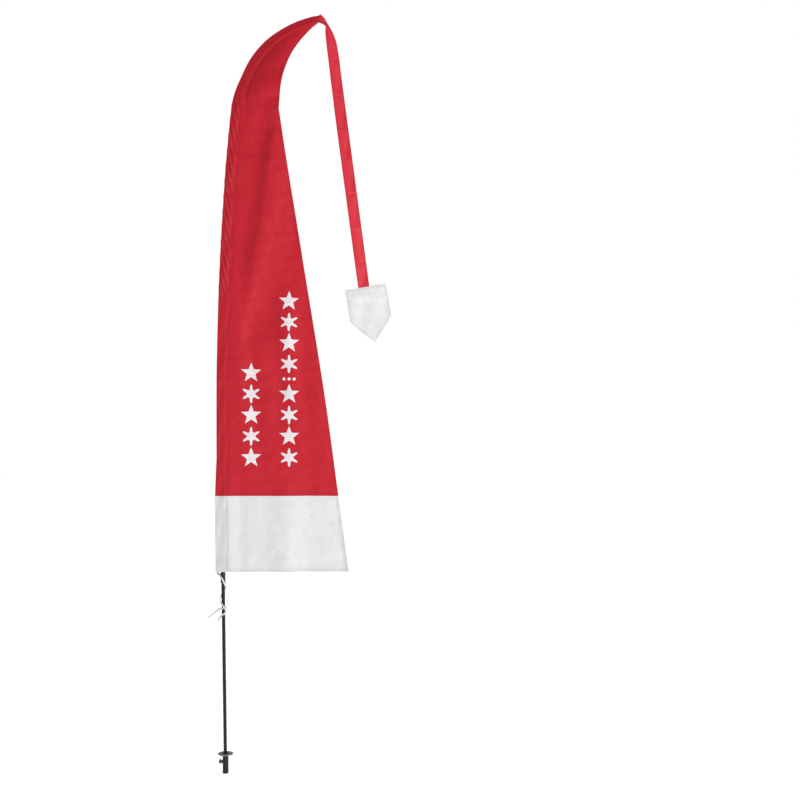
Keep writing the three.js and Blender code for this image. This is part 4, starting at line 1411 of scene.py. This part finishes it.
def pennant_cloth():
    """Rows run down from the top edge to the point, which is one spot, and each is hemmed at both ends."""
    share, shift, lift = (part[:, None] for part in hemmed(64, PENNANT_TOP_HEM, 0))
    down = (share * PENNANT_HEIGHT + shift).clip(-0.001, PENNANT_HEIGHT)[::-1]
    hems = hemmed(46, PENNANT_SIDE_HEM, PENNANT_SIDE_HEM)
    share_side, shift_side, lift_side = (part[None, :] for part in hems)
    half = pennant_side(down)
    room = np.clip(half / 0.012, 0.0, 1.0)
    across = PENNANT_CENTRE + half * (2 * share_side - 1) + shift_side * room
    behind = pennant_lie(down, across) + lift[::-1] + lift_side * room
    points = pennant_spot(RIBBON_DIP + down + 0 * across, across, behind)
    flat_down = (share * PENNANT_HEIGHT - shift)[::-1] + 0 * across
    made = surface("pennant_cloth", points, np.stack([across - 2 * shift_side * room, -flat_down], axis=-1))
    doubled = (half - np.abs(across - PENNANT_CENTRE) < PENNANT_SIDE_HEM) | (down < PENNANT_TOP_HEM)
    add_layers_and_shade(made, 0.10 * doubled)
    return thickened(weld(made, outward=False))


pennant = pennant_cloth()
fix(pennant, white_weave, "white_cloth", "pennant", "pennant")


def on_pennant(down, across, behind):
    """A line on the pennant's cloth, down from its top edge."""
    return pennant_spot(RIBBON_DIP + down, across, pennant_lie(down, across) + behind)


def pennant_rows(behind):
    """A row of sewing just inside each side, and one along the top."""
    down = np.linspace(PENNANT_TOP_ROW, PENNANT_HEIGHT - 0.009, 160)
    inset = np.maximum(pennant_side(down) - PENNANT_SIDE_ROW, 0.0003)
    rows = [on_pennant(down, PENNANT_CENTRE + side * inset, behind) for side in (-1, 1)]
    top = PENNANT_WIDTH / 2 - PENNANT_SIDE_ROW
    across = np.linspace(PENNANT_CENTRE - top, PENNANT_CENTRE + top, 120)
    return [*rows, on_pennant(PENNANT_TOP_ROW + 0 * across, across, behind)]


def tab_rows(behind):
    """The rectangle that holds the ribbon's end."""
    near, high, low = TAB_HALF - TAB_INSET, TAB_INSET, TAB_LENGTH - TAB_INSET
    corners = np.array([(high, -near), (high, near), (low, near), (low, -near), (high, -near)])
    rows = []
    for one, other in zip(corners[:-1], corners[1:]):
        down, across = np.linspace(one, other, 40).T
        rows.append(on_pennant(down, across, behind))
    return rows


ON_PENNANT = CLOTH / 2 + 0.0001
pennant_sewing = sewn("pennant_sewing", pennant_rows, -ON_PENNANT, TURN + ON_PENNANT,
                      pink_thread, "white_cloth", "pennant")
pennant_sewing += sewn("tab_sewing", tab_rows, -ON_PENNANT, TAB_SEWING_BACK,
                       pink_thread, "white_cloth", "pennant")


def tab_cloth():
    """The ribbon's last length: it starts over the ribbon's end and passes down behind the pennant."""
    down = np.linspace(-0.010, TAB_LENGTH, 26)[::-1, None]
    across = np.linspace(-TAB_HALF, TAB_HALF, 16)[None, :]
    behind = 0.0021 * ease(down, -0.006, 0.004) + pennant_lie(down, across) * ease(down, 0.0, 0.01)
    lie = across * 0.257 * (1 - ease(down, -0.004, 0.006))
    slip = across * np.tan(PENNANT_TILT - TAIL_TILT) * (1 - ease(down, -0.004, 0.004))
    points = pennant_spot(RIBBON_DIP + down + slip, across + 0 * down, behind + lie + 0.0011)
    flat = joined(across, -down)
    made = surface("tab_cloth", points, flat)
    add_layers_and_shade(made, 0.25 + 0 * (down + across))
    return thickened(made, RIBBON_CLOTH)


tab = tab_cloth()
fix(tab, ribbon_weave_painted_light, "red_cloth", None, "pennant_tab")
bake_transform(tab)
